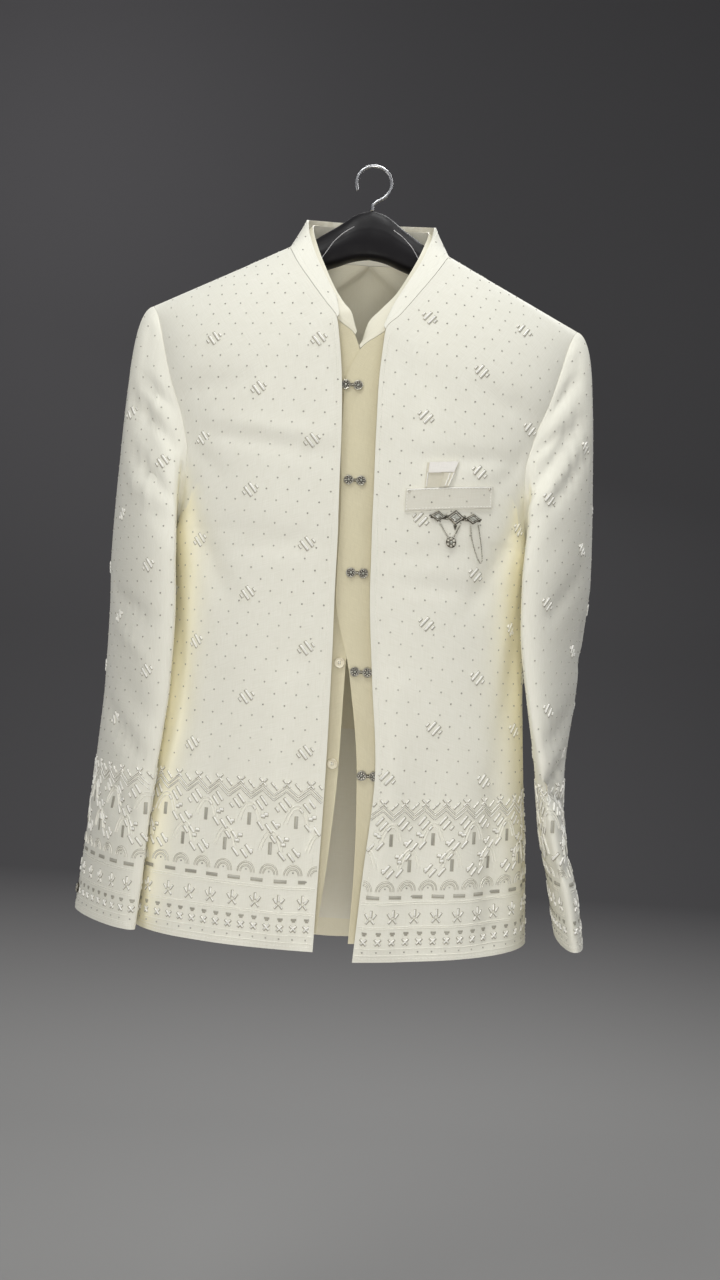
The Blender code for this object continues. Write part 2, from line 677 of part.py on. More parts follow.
def vest_front_sheet(side):
    """The middle surface of a waistcoat front, worked out from the jacket front's own rows."""
    rows = refine(FRONT_ROWS)
    own = refine(VEST_ROWS, FRONT_ROWS)
    last = len(rows) - 1
    hem_start = line_number(FRONT_ROWS, FRONT_LINES_TO_BORDER)
    points, grid, depth = [], [], []
    for index, (row, vest_row) in enumerate(zip(rows, own)):
        x_left, x_right, y_in, z_left, z_right, corner, x_out, y_out, z_out = row
        x_in, z_in = (x_right, z_right) if side == RIGHT else (x_left, z_left)
        reach, inside, share = vest_side(vest_row, side)
        rise = VEST_HEM_RISE * max(0, index - hem_start) / (last - hem_start)
        line = []
        for column in range(VEST_COLUMNS + 1):
            if index <= VEST_LAST_NECK_ROW:
                t = share * column / VEST_COLUMNS
            elif column == 0:
                t = reach - x_in
            else:
                t = share * (column - 0.5) / (VEST_COLUMNS - 0.5)
            x, y, z = row_point(x_in, y_in, z_in, corner, x_out, y_out, z_out, t)
            line.append(len(points))
            points.append((side * x, y, z + rise))
            depth.append(inside)
        grid.append(line)
    faces = quads(grid, side == RIGHT)
    seam = grid[0] + [line[-1] for line in grid[FRONT_ARMHOLE_STEPS:]]
    sheet = Sheet(points, faces, grid)
    sheet.level_seam(seam, 0.0)
    sheet = Sheet(inset_points(sheet, enumerate(grid), np.array(depth)), faces, grid)
    sheet.level_seam(seam, -SEAM_GAP / 2)
    return sheet


def vest_back_sheet():
    """The middle surface of the waistcoat's back, worked out from the jacket back's own rows. Its
    lower half hangs well inside the jacket's."""
    own = refine(VEST_BACK_ROWS, BACK_ROWS)
    rows = refine(BACK_ROWS)
    armhole_end = line_number(BACK_ROWS, BACK_LINES_TO_UNDERARM)
    hem_start = line_number(BACK_ROWS, BACK_LINES_TO_BORDER)
    last = len(rows) - 1
    points, halves, depth = [], {}, []
    for side in (RIGHT, LEFT):
        grid = []
        for index, (row, (inside, at_side, share, *_)) in enumerate(zip(rows, own)):
            low = max(0, index - hem_start) / (last - hem_start)
            line = []
            for column in range(VEST_BACK_COLUMNS + 1):
                if side == LEFT and column == 0 and index >= BACK_NECK_STEPS:
                    line.append(halves[RIGHT][index][0])
                    continue
                part = column / VEST_BACK_COLUMNS
                x, y, z = row_point(*row, share * part)
                line.append(len(points))
                fall = low * (VEST_BACK_HEM_DROP * (1 - part ** 2) - VEST_HEM_RISE * part ** 2)
                points.append((side * x, y, z - fall))
                depth.append(at_side + (inside - at_side) * (1 - part ** VEST_BACK_SLACK))
            grid.append(line)
        halves[side] = grid
    faces = quads(halves[RIGHT], False) + quads(halves[LEFT], True)
    seams = []
    for grid in halves.values():
        seams += grid[0] + [line[-1] for line in grid[armhole_end:]]
    sheet = Sheet(points, faces, halves)
    sheet.level_seam(seams, 0.0)
    lines = []
    for number, (left, right) in enumerate(zip(halves[LEFT], halves[RIGHT])):
        joined = left[0] == right[0]
        lines += [(number, left[::-1] + right[1:])] if joined else [(number, left), (number, right)]
    sheet = Sheet(inset_points(sheet, lines, np.array(depth)), faces, halves)
    sheet.level_seam(seams, SEAM_GAP / 2)
    return sheet


def surface_tree(sheet, offset):
    """A tree to find points on one face of a wall, in millimetres."""
    points = sheet.points + sheet.normals * offset
    return BVHTree.FromPolygons([Vector(point) for point in points], sheet.faces)


def on_surface(tree, x, z, start_y=FAR_FORWARD):
    """The point and normal where a line to the back meets a wall."""
    place, normal, _, _ = tree.ray_cast(Vector((x, start_y, z)), Vector((0, 1, 0)))
    if normal.y > 0:
        normal = -normal
    return np.array(place), np.array(normal)


def foremost(tree, x, z):
    """How far forward a wall comes behind a clasp's footprint."""
    reach, half = (CLASP_PITCH + MEDALLION) / 2, MEDALLION / 2
    hits = [tree.ray_cast(Vector((x + a * reach, FAR_FORWARD, z + b * half)), Vector((0, 1, 0)))[0]
            for a in (-1, -0.5, 0, 0.5, 1) for b in (-1, 0, 1)]
    return min(hit.y for hit in hits if hit is not None)


def laid_sheet(tree, lines, lift, start_y=FAR_FORWARD):
    """A sheet through lines of (x, z) places, laid on a wall and moved out from it."""
    points, normals, grid = [], [], []
    for line in lines:
        indices = []
        for x, z in line:
            place, normal = on_surface(tree, x, z, start_y)
            indices.append(len(points))
            points.append(place + lift * normal)
            normals.append(normal)
        grid.append(indices)
    sheet = Sheet(points, quads(grid, True), grid)
    if np.sum(sheet.normals * np.array(normals)) < 0:
        sheet = Sheet(points, quads(grid, False), grid)
    return sheet


def local_frame(normal):
    """Two directions across a piece that faces along the normal: to its right and up."""
    normal = np.array(normal, float)
    right = unit(np.cross(np.array([0.0, 0.0, 1.0]), normal))
    right = right if right[0] > 0 else -right
    up = unit(np.cross(normal, right))
    up = up if up[2] > 0 else -up
    return right, up


def raised_plate(name, outline, centre, normal, thickness, inset, finish):
    """A small plate from an outline of (across, up) points. inset gives each point's place on the
    smaller top face."""
    right, up = local_frame(normal)
    base = np.array(centre)
    layers = [(outline, 0.0), (outline, 0.6 * thickness), (inset, thickness)]
    points = [base + a * right + b * up + height * np.array(normal)
              for line, height in layers for a, b in line]
    count = len(outline)
    faces = [tuple(range(count)), tuple(range(2 * count, 3 * count))[::-1]]
    for layer in range(2):
        low, high = layer * count, (layer + 1) * count
        faces += [(low + k, high + k, high + (k + 1) % count, low + (k + 1) % count) for k in range(count)]
    return solid(name, points, faces, finish)


def arc(centre, radius, start, end, count):
    """Points along a circle between two angles in degrees."""
    angles = [math.radians(start + (end - start) * k / count) for k in range(count + 1)]
    return [(centre[0] + radius * math.cos(angle), centre[1] + radius * math.sin(angle)) for angle in angles]


def round_button(name, centre, normal, size, finish):
    """A domed button."""
    diameter, thickness = size
    outline = arc((0, 0), diameter / 2, 0, 360, BUTTON_SIDES)[:-1]
    top = [(BUTTON_TOP * a, BUTTON_TOP * b) for a, b in outline]
    raised_plate(name, outline, centre, normal, thickness, top, finish)


def clasp(name, centre, normal):
    """Two round medallions joined by a bar, as one plate."""
    reach, radius = CLASP_PITCH / 2, MEDALLION / 2
    open_angle = math.degrees(math.asin(CLASP_BAR / 2 / radius))
    right = arc((reach, 0), radius, 180 + open_angle, 540 - open_angle, CLASP_ARC_STEPS)
    left = [(-a, -b) for a, b in right]
    outline = right + left
    middles = [math.copysign(reach, a) for a, b in outline]
    inset = [(middle + CLASP_TOP * (a - middle), CLASP_TOP * b) for middle, (a, b) in zip(middles, outline)]
    raised_plate(name, outline, centre, normal, CLASP_HEIGHT, inset, "antique_metal")


def tube(name, path, radius, sides, finish):
    """A closed round tube along a path."""
    path = np.array(path, float)
    tangents = unit(np.gradient(path, axis=0))
    side = unit(np.cross(tangents[0], (0.0, 1.0, 0.0) if abs(tangents[0][1]) < 0.9 else (1.0, 0.0, 0.0)))
    points = []
    for place, tangent in zip(path, tangents):
        side = unit(side - (side @ tangent) * tangent)
        other = np.cross(tangent, side)
        for k in range(sides):
            angle = 2 * math.pi * k / sides
            points.append(place + radius * (math.cos(angle) * side + math.sin(angle) * other))
    faces = [tuple(range(sides))[::-1], tuple(range(len(points) - sides, len(points)))]
    for ring in range(len(path) - 1):
        low, high = ring * sides, (ring + 1) * sides
        faces += [(low + k, low + (k + 1) % sides, high + (k + 1) % sides, high + k) for k in range(sides)]
    return solid(name, points, faces, finish)


def hanger_section(row):
    """The hanger's rounded section at one station, from the crest round."""
    x, top, bottom, half = row
    front = [(across * half, top - down * (top - bottom)) for across, down in HANGER_PROFILE]
    back = [(-y, z) for y, z in front[:0:-1]]
    return [(x, y, z) for y, z in front + [(0.0, bottom)] + back]


def hanger():
    """The moulded hanger, one body from end to end."""
    rows = refine(HANGER_ROWS)
    sections = [hanger_section(row) for row in rows]
    mirrored = [[(-x, y, z) for x, y, z in section] for section in sections[:0:-1]]
    rings = mirrored + sections
    count = len(rings[0])
    points = [point for ring in rings for point in ring]
    faces = [tuple(range(count)), tuple(range(len(points) - count, len(points)))[::-1]]
    for ring in range(len(rings) - 1):
        low, high = ring * count, (ring + 1) * count
        faces += [(low + k, high + k, high + (k + 1) % count, low + (k + 1) % count) for k in range(count)]
    solid("hanger_body", points, faces, "hanger_plastic")


def hook():
    """The hanger's wire hook: a short stem, a bend and the round crown."""
    radius = HOOK_INNER_RADIUS + HOOK_WIRE
    centre_z = -HOOK_INNER_RADIUS
    crown = [(x, 0.0, z) for x, z in arc((0, centre_z), radius, HOOK_NECK_ANGLE, HOOK_OPEN_ANGLE, HOOK_STEPS)]
    first_x, _, first_z = crown[0]
    stem = [(0.0, 0.0, HOOK_STEM_FOOT), (0.0, 0.0, 0.5 * (HOOK_STEM_FOOT + first_z) - 2),
            (0.45 * first_x, 0.0, first_z - 3.0)]
    tube("hanger_hook", stem + crown, HOOK_WIRE, HOOK_SIDES, "steel_wire")


def welt_lines():
    """Places for the pocket welt, which rises a little outwards."""
    (x, z), (width, height) = WELT_CENTRE, WELT_SIZE
    lines = []
    for up in (0.5, 0.0, -0.5):
        offsets = [width * (k / WELT_COLUMNS - 0.5) for k in range(WELT_COLUMNS + 1)]
        lines.append([(x + offset, z + up * height + WELT_RISE * offset) for offset in offsets])
    return lines


def square_lines():
    """Places for the pocket square that shows above the welt."""
    lines = []
    for level in range(SQUARE_ROWS + 1):
        share = level / SQUARE_ROWS
        left = SQUARE_TOP[0] * (1 - share) + SQUARE_FOOT[0] * share
        right = SQUARE_TOP[1] * (1 - share) + SQUARE_FOOT[1] * share
        line = []
        for k in range(SQUARE_COLUMNS + 1):
            x = left + (right - left) * k / SQUARE_COLUMNS
            foot = WELT_CENTRE[1] + WELT_SIZE[1] / 2 + WELT_RISE * (x - WELT_CENTRE[0]) + SEAM_GAP
            line.append((x, foot + SQUARE_HEIGHT * (1 - share)))
        lines.append(line)
    return lines


def small_pieces(sheets):
    """Pocket, brooch, clasps and buttons, each seated on the wall that carries it."""
    jacket = surface_tree(sheets["front_right"], JACKET_WALL / 2)
    vest = surface_tree(sheets["vest_right"], VEST_WALL / 2)
    under = surface_tree(sheets["vest_left"], VEST_WALL / 2)
    welt = laid_sheet(jacket, welt_lines(), SEAT_GAP + WELT_THICK / 2)
    wall("chest_welt", welt, WELT_THICK, "ivory_cloth")
    square = laid_sheet(jacket, square_lines(), SEAT_GAP + SQUARE_THICK / 2)
    wall("pocket_square", square, SQUARE_THICK, "ivory_cloth")
    for index, (x, z) in enumerate(CLASP_PLACES, 1):
        clasp(f"clasp_{index}", (x, foremost(vest, x, z) - CLASP_SEAT, z), (0.0, -1.0, 0.0))
    for index, (x, z) in enumerate(VEST_BUTTONS, 1):
        place, normal = on_surface(under, x, z)
        round_button(f"vest_button_{index}", place + SEAT_GAP * normal, normal, VEST_BUTTON, "pearl")
    place, normal = on_surface(jacket, *BROOCH_CENTRE)
    right, up = local_frame(normal)
    seat = place + BROOCH_SEAT * normal
    outline = BROOCH_OUTLINE + [(a, -b) for a, b in BROOCH_OUTLINE[-2:0:-1]]
    top = [(BROOCH_TOP[0] * a, BROOCH_TOP[1] * b) for a, b in outline]
    raised_plate("brooch_bar", outline, seat, normal, BROOCH_THICK, top, "antique_metal")
    raised_plate("brooch_drop", drop_outline(), seat, normal, DROP_THICK, drop_outline(DROP_TRIM),
                 "antique_metal")
    route = [seat + a * right + b * up + CHAIN_LIFT * normal for a, b in CHAIN_ROUTE]
    fine = smooth(range(len(route)), route, np.linspace(0, len(route) - 1, 2 * len(route) - 1))
    tube("brooch_chain", fine, CHAIN_WIRE, CHAIN_SIDES, "antique_metal")


def drop_outline(trim=0.0):
    """The brooch's drop: a cluster on two arms that spread up to the bar, as one outline."""
    (cx, cy), radius, arm = DROP_CENTRE, DROP_RADIUS - trim, DROP_ARM - trim
    left, right = DROP_ROOTS
    disc = arc((cx, cy), radius, 110, 430, 11)
    low = left[1] - trim
    return [(left[0] - arm, low), *disc, (right[0] + arm, low), (right[0] - arm, low),
            (cx, cy + radius + DROP_CROTCH - 2 * trim), (left[0] + arm, low)]


def cuff_button(name, sheet, side):
    """A metal button on the outer side of a cuff, near its back edge."""
    tree = surface_tree(sheet, JACKET_WALL / 2)
    start = Vector((side * FAR_ASIDE, CUFF_BUTTON_Y, CUFF_BUTTON_Z[side]))
    place, normal, _, _ = tree.ray_cast(start, Vector((-side, 0, 0)))
    normal = np.array(normal if normal.x * side > 0 else -normal)
    round_button(name, np.array(place) + SEAT_GAP * normal, normal, CUFF_BUTTON, "antique_metal")


def facing_sheet(sheet):
    """The pale facing on the inner side of the waistcoat back's lower half."""
    tree = surface_tree(sheet, -VEST_WALL / 2)
    lines = []
    for level in range(FACING_ROWS + 1):
        share = level / FACING_ROWS
        z = FACING_TOP + share * (FACING_FOOT - FACING_TOP)
        lines.append([(FACING_HALF * (2 * k / FACING_COLUMNS - 1), z) for k in range(FACING_COLUMNS + 1)])
    return laid_sheet(tree, lines, SEAT_GAP + FACING_WALL / 2, start_y=INSIDE_BACK)


def main():
    for item in list(bpy.data.objects):
        bpy.data.objects.remove(item, do_unlink=True)
    sheets = {
        "front_left": front_sheet(LEFT),
        "front_right": front_sheet(RIGHT),
        "back": back_sheet(),
        "vest_left": vest_front_sheet(LEFT),
        "vest_right": vest_front_sheet(RIGHT),
        "vest_back": vest_back_sheet(),
    }
    for name in ("front_left", "front_right", "back"):
        wall(f"jacket_{name}", sheets[name], JACKET_WALL, "ivory_cloth")
    for name, node in (("vest_left", "vest_front_left"), ("vest_right", "vest_front_right"),
                       ("vest_back", "vest_back")):
        wall(node, sheets[name], VEST_WALL, "champagne_satin")
    for name, side, table, folds in (("sleeve_left", LEFT, LEFT_SLEEVE_ROWS, LEFT_SLEEVE_FOLDS),
                                     ("sleeve_right", RIGHT, RIGHT_SLEEVE_ROWS, RIGHT_SLEEVE_FOLDS)):
        sheet = sleeve_sheet(side, table, sheets, folds)
        wall(name, sheet, JACKET_WALL, "ivory_cloth")
        cuff_button(name.replace("sleeve", "cuff_button"), sheet, side)
    edge, normals = neck_loop(sheets, "front_left", "front_right", "back", NECK_STEPS)
    left_top = collar_top_points(COLLAR_TOP, JACKET_NECK_LINES)
    right_top = collar_top_points(COLLAR_TOP_RIGHT, JACKET_NECK_LINES)
    wall("jacket_collar", collar_sheet(edge, normals, left_top, right_top), COLLAR_WALL, "ivory_cloth")
    edge, normals = neck_loop(sheets, "vest_left", "vest_right", "vest_back", VEST_NECK_STEPS)
    left_top = collar_top_points(VEST_COLLAR_TOP_LEFT, VEST_NECK_LINES)
    right_top = collar_top_points(VEST_COLLAR_TOP_RIGHT, VEST_NECK_LINES)
    wall("vest_collar", collar_sheet(edge, normals, left_top, right_top), VEST_WALL, "champagne_satin")
    wall("vest_back_facing", facing_sheet(sheets["vest_back"]), FACING_WALL, "pale_facing")
    small_pieces(sheets)
    hanger()
    hook()


main()
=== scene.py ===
"""The looks of an indo-western sherwani: an open jacket over a satin waistcoat, on a moulded hanger.

Lengths in the tables are millimetres. +X is to the viewer's right, +Y to the garment's back and
+Z up, with the origin under the crown of the hanger's hook. The cloth is made again from the
construction's own tables, finer, with its smaller creases, and carries raised embroidery.
"""
import math
from collections import namedtuple

import bpy
import numpy as np
from mathutils import Matrix, Vector
from mathutils.bvhtree import BVHTree
from mathutils.kdtree import KDTree


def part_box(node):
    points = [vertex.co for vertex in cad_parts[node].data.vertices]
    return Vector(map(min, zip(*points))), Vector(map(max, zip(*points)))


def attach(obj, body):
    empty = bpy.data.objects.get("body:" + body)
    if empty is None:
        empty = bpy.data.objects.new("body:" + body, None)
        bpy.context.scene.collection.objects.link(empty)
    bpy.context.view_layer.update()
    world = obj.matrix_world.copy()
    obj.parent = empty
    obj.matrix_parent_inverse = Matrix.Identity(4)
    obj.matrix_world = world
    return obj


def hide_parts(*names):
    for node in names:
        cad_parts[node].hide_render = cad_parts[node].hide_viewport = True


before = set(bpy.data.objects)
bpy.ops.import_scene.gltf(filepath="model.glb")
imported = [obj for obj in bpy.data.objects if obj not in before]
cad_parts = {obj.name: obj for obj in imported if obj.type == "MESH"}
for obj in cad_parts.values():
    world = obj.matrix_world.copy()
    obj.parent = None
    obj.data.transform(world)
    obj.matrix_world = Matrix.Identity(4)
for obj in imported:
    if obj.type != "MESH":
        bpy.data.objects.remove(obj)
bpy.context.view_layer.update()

MM = 0.001
FINE = 5
SEAM_GAP = 0.3
SEAT_GAP = 0.35
JACKET_WALL = 2.0
COLLAR_WALL = 2.2
VEST_WALL = 1.2
FACING_WALL = 1.0
FULLNESS = 0.63
RIGHT, LEFT = 1, -1


def table(kind, rows):
    """The rows of a table, with their columns named."""
    return [kind(*row) for row in rows]


# Jacket fronts. The inner end differs a little between the viewer's left and right, because the
# garment hangs slightly open to the right. steps is how many rows the mesh has to the next line.
FrontRow = namedtuple("FrontRow", "x_left x_right y_in z_left z_right corner x_out y_out z_out steps")
FRONT_ROWS = table(FrontRow, [
    (86, 86, 0, -92, -92, 156, 226, 0, -163, 2),
    (83, 83, -24, -99, -99, 190, 221, -9, -170, 2),
    (74, 73, -46, -118, -119, 184, 214, -19, -188, 1),
    (56, 54, -64, -145, -149, 174, 206, -30, -216, 1),
    (39, 35, -76, -168, -176, 162, 196, -40, -248, 1),
    (28, 22, -83, -183, -192, 148, 184, -47, -278, 1),
    (25, 20, -86, -198, -212, 142, 178, -51, -298, 1),
    (19, 18, -91, -245, -252, 138, 173, -54, -322, 2),
    (16, 18.5, -95, -300, -306, 146, 174, -48, -353, 1),
    (15, 19.5, -97, -345, -352, 162, 179, -34, -380, 1),
    (14, 20, -98, -382, -389, 180, 185, -16, -398, 1),
    (13.3, 20.7, -98.5, -404, -411, 190, 190, 0, -405, 2),
    (13, 22, -99, -450, -457, 186, 186, 0, -450, 3),
    (11.5, 29, -100, -532, -540, 190, 190, 0, -540, 3),
    (11, 38, -101, -632, -640, 197, 197, 0, -640, 3),
    (12, 31.5, -103, -732, -740, 205, 205, 0, -740, 3),
    (13, 26.5, -105, -815, -823, 209, 209, 0, -813, 0),
])
NECK_STEPS = 7
VEST_LAST_NECK_ROW = 7
VEST_NECK_STEPS = 8
FRONT_ARMHOLE_STEPS = 14
FRONT_LINES_TO_BORDER = 14

BackRow = namedtuple("BackRow", "x_in y_in z_in corner x_out y_out z_out steps")
BACK_ROWS = table(BackRow, [
    (86, 0, -92, 156, 226, 0, -163, 2),
    (80, 25, -91, 188, 221, 11, -170, 2),
    (64, 44, -90, 188, 214, 23, -188, 1),
    (38, 57, -89, 182, 206, 34, -216, 1),
    (0, 62, -88, 172, 198, 43, -248, 1),
    (0, 72, -118, 160, 190, 50, -280, 2),
    (0, 83, -200, 152, 182, 54, -318, 2),
    (0, 88, -285, 158, 181, 47, -352, 1),
    (0, 90, -342, 172, 183, 33, -380, 1),
    (0, 91, -380, 184, 187, 15, -398, 1),
    (0, 91, -403, 190, 190, 0, -405, 2),
    (0, 90, -450, 186, 186, 0, -450, 3),
    (0, 88, -540, 190, 190, 0, -540, 3),
    (0, 90, -640, 197, 197, 0, -640, 3),
    (0, 95, -740, 205, 205, 0, -740, 3),
    (0, 100, -818, 209, 209, 0, -813, 0),
])
BACK_NECK_STEPS = 6
BACK_LINES_TO_UNDERARM = 10
BACK_LINES_TO_BORDER = 13
BACK_NECK_LINES = 4
FRONT_COLUMNS = 11
BACK_COLUMNS = 9

# Stand collar: where the top edge lies for each neck row, from the front end round to the back.
CollarTop = namedtuple("CollarTop", "x y z")
JACKET_NECK_LINES, VEST_NECK_LINES = 5, 6
COLLAR_TOP = table(CollarTop, [
    (30, -70, -158),
    (36, -62, -148),
    (46, -49, -128),
    (56, -33, -106),
    (64, -15, -80),
    (68, 0, -62),
    (69, 22, -53),
    (53, 41, -47),
    (29, 52, -44),
    (0, 56, -43),
])
COLLAR_TOP_RIGHT = [CollarTop(27, -71, -168)] + COLLAR_TOP[1:]
COLLAR_KNEE = 3.2
COLLAR_GAP = 0.45

# Sleeves, from the biceps to the cuff. A section is a flattened ring: centre, how far its long
# axis turns from +X towards the back, half its flat width, and how far each side bulges.
SleeveRow = namedtuple("SleeveRow", "x y z turn half out inner steps")
LEFT_SLEEVE_ROWS = table(SleeveRow, [
    (216, -5, -435, 63, 82, 31, 12, 2),
    (214, -5, -490, 62, 82, 30, 12, 2),
    (215, -6, -560, 61, 80, 28, 11, 2),
    (221, -9, -640, 60, 75, 25, 10, 1),
    (226, -13, -700, 58, 70, 22, 9, 1),
    (230, -17, -755, 55, 66, 19, 9, 2),
    (235, -21, -812, 52, 62, 16, 9, 0),
])
RIGHT_SLEEVE_ROWS = table(SleeveRow, [
    (216, -5, -435, 62, 82, 31, 12, 2),
    (215, -7, -490, 64, 81.5, 28, 12, 2),
    (217, -12, -560, 70, 79, 24, 11, 2),
    (220, -20, -628, 78, 74, 17, 11, 2),
    (226, -25, -690, 84, 69, 14, 11, 2),
    (240, -28, -750, 87, 65, 14, 11, 2),
    (250, -30, -803, 88, 62, 13, 11, 0),
])
CAP_RINGS = 7
CAP_PULL = 0.75
CAP_START_REACH = 0.42
CAP_START_SPAN = (40, 150)
CAP_END_REACH = 0.85
UNDERARM_TURN = 0.6
CAP_TURN_IN = 0.5

# The largest folds, pressed into the wall: from, to, half width and depth.
Fold = namedtuple("Fold", "start end width depth")
FOLD_FADE_FROM, FOLD_FADE_SPAN = 0.15, 0.7
LEFT_SLEEVE_FOLDS = table(Fold, [
    ((-253, -30, -262), (-196, -76, -345), 13, 4.0),
    ((-246, -60, -330), (-190, -82, -398), 12, 4.5),
    ((-240, -40, -560), (-190, -84, -600), 16, 3.0),
])
RIGHT_SLEEVE_FOLDS = table(Fold, [
    ((250, -30, -240), (206, -70, -300), 12, 4.0),
    ((254, -45, -292), (196, -80, -352), 13, 4.5),
    ((256, -55, -350), (200, -84, -410), 12, 4.0),
    ((262, -30, -600), (214, -96, -654), 13, 6.0),
])
BODY_FOLDS = table(Fold, [
    ((-150, -80, -425), (-40, -110, -412), 10, 2.0),
    ((40, -110, -446), (140, -85, -452), 10, 2.0),
    ((-128, -95, -560), (-140, -105, -830), 20, 4.0),
    ((96, -105, -620), (90, -115, -830), 22, 4.0),
    ((-60, 90, -420), (-80, 105, -830), 26, 6.0),
    ((60, 90, -420), (80, 105, -830), 26, 6.0),
])

# Waistcoat fronts, a line for each jacket front row: x of the inner end on the front's own side,
# negative past the middle, how far the front lies inside the jacket, and the share of the row that
# it reaches. The left front laps under the right one, so it lies further in below the neck.
VestRow = namedtuple("VestRow", "x_left x_right in_left in_right share steps")
VEST_ROWS = table(VestRow, [
    (86, 86, 2.0, 2.0, 0.80, 2),
    (83, 83, 2.2, 2.2, 0.80, 2),
    (74, 73, 3.0, 3.0, 0.80, 1),
    (56, 54, 4.5, 4.5, 0.80, 1),
    (39, 35, 5.5, 5.5, 0.81, 1),
    (28, 22, 6.5, 6.5, 0.83, 1),
    (9, -2, 9.4, 7.0, 0.85, 1),
    (-4, -16, 10.9, 8.5, 0.86, 2),
    (-6, -16, 11.2, 8.8, 0.88, 1),
    (-8, -13, 11.4, 9.0, 0.92, 1),
    (-8, -12, 11.4, 9.0, 0.96, 1),
    (-8, -12, 11.4, 9.0, 1.0, 2),
    (-8, -12, 11.4, 9.0, 1.0, 3),
    (-2, 6.5, 11.4, 9.0, 1.0, 3),
    (-1.0, 20, 11.4, 9.0, 1.0, 3),
    (4, 23, 11.4, 9.0, 1.0, 3),
    (11, 21.5, 11.4, 9.0, 1.0, 0),
])
VEST_HEM_RISE = 16
INSET_LEVEL_FROM, INSET_LEVEL_SPAN = 4, 4
VEST_COLUMNS = 8
VEST_BACK_COLUMNS = 6
VestBackRow = namedtuple("VestBackRow", "inside side share steps")
VEST_BACK_ROWS = table(VestBackRow, [
    (2.0, 2.0, 0.80, 2),
    (2.2, 2.2, 0.80, 2),
    (2.6, 2.6, 0.80, 1),
    (3.0, 3.0, 0.80, 1),
    (3.5, 3.5, 0.81, 1),
    (5.0, 4.5, 0.83, 2),
    (8.0, 6.0, 0.86, 2),
    (10.0, 8.0, 0.90, 1),
    (12.0, 9.0, 0.94, 1),
    (13.0, 10.2, 0.97, 1),
    (14.0, 10.2, 1.0, 2),
    (16.0, 10.2, 1.0, 3),
    (28.0, 10.2, 1.0, 3),
    (44.0, 10.2, 1.0, 3),
    (53.0, 10.2, 1.0, 3),
    (60.0, 10.2, 1.0, 0),
])
VEST_BACK_HEM_DROP = 14
VEST_BACK_SLACK = 1.6
FACING_TOP, FACING_FOOT, FACING_HALF = -604, -812, 70

VEST_COLLAR_SIDE = table(CollarTop, [
    (54, -22, -96),
    (62, 0, -67),
    (62, 20, -59),
    (47, 37, -54),
    (26, 47, -52),
    (0, 51, -51),
])
VEST_COLLAR_TOP_LEFT = table(CollarTop, [
    (9, -74, -190),
    (14, -71, -174),
    (22, -66, -164),
    (33, -56, -146),
    (43, -42, -124),
]) + VEST_COLLAR_SIDE
VEST_COLLAR_TOP_RIGHT = table(CollarTop, [
    (-1, -74, -204),
    (4, -71, -184),
    (16, -65, -168),
    (30, -56, -150),
    (42, -42, -126),
]) + VEST_COLLAR_SIDE

# Moulded hanger: stations along the shoulder, with the height of its crest and of its lower edge.
HangerRow = namedtuple("HangerRow", "x top bottom half steps")
HANGER_ROWS = table(HangerRow, [
    (0, -46, -98, 11, 1),
    (14, -50, -100, 12, 1),
    (34, -64, -107, 13, 1),
    (58, -80, -116, 14, 1),
    (84, -97.5, -128, 16, 1),
    (106, -105.9, -138, 17, 1),
    (140, -123.1, -153, 18, 1),
    (172, -139.4, -166, 18, 1),
    (194, -151.0, -176, 15, 1),
    (210, -162, -178, 9, 0),
])
HOOK_WIRE = 1.75
HOOK_INNER_RADIUS = 17
HOOK_STEM_FOOT = -45.6
HOOK_OPEN_ANGLE = 205
HOOK_NECK_ANGLE = -62

CLASP_PLACES = [(-8.6, -250), (0.2, -346), (8.0, -438.5), (18.0, -537), (31.0, -640)]
CLASP_PITCH, MEDALLION = 12.5, 10.0
VEST_BUTTONS = [(-4.0, -529), (-5.0, -630)]
VEST_BUTTON = (11.0, 2.4)
CUFF_BUTTON = (11.0, 3.0)
CUFF_BUTTON_Z = {LEFT: -790, RIGHT: -762}
CUFF_BUTTON_Y = 12

WELT_CENTRE, WELT_SIZE, WELT_RISE = (95.3, -358.5), (88, 22), 0.115
WELT_THICK = 1.8
SQUARE_FOOT, SQUARE_TOP = (70.0, 93.0), (71.0, 103.0)
SQUARE_HEIGHT, SQUARE_THICK = 25, 1.8

BROOCH_CENTRE = (102.6, -379.0)
BROOCH_SEAT = 0.45
DROP_CENTRE = (-3.4, -23.5)
DROP_ROOTS = ((-15.5, -5.8), (5.0, -5.8))
CHAIN_LIFT = 1.0
CHAIN_ROUTE = [(16, -5.5), (18, -18), (21.5, -29), (26, -39), (28.5, -42),
               (30, -39), (29, -29), (27, -18), (24.0, -3.5)]
FAR_FORWARD, FAR_ASIDE = -400, 400
INSIDE_BACK = -40
SHARP_ANGLE = 40

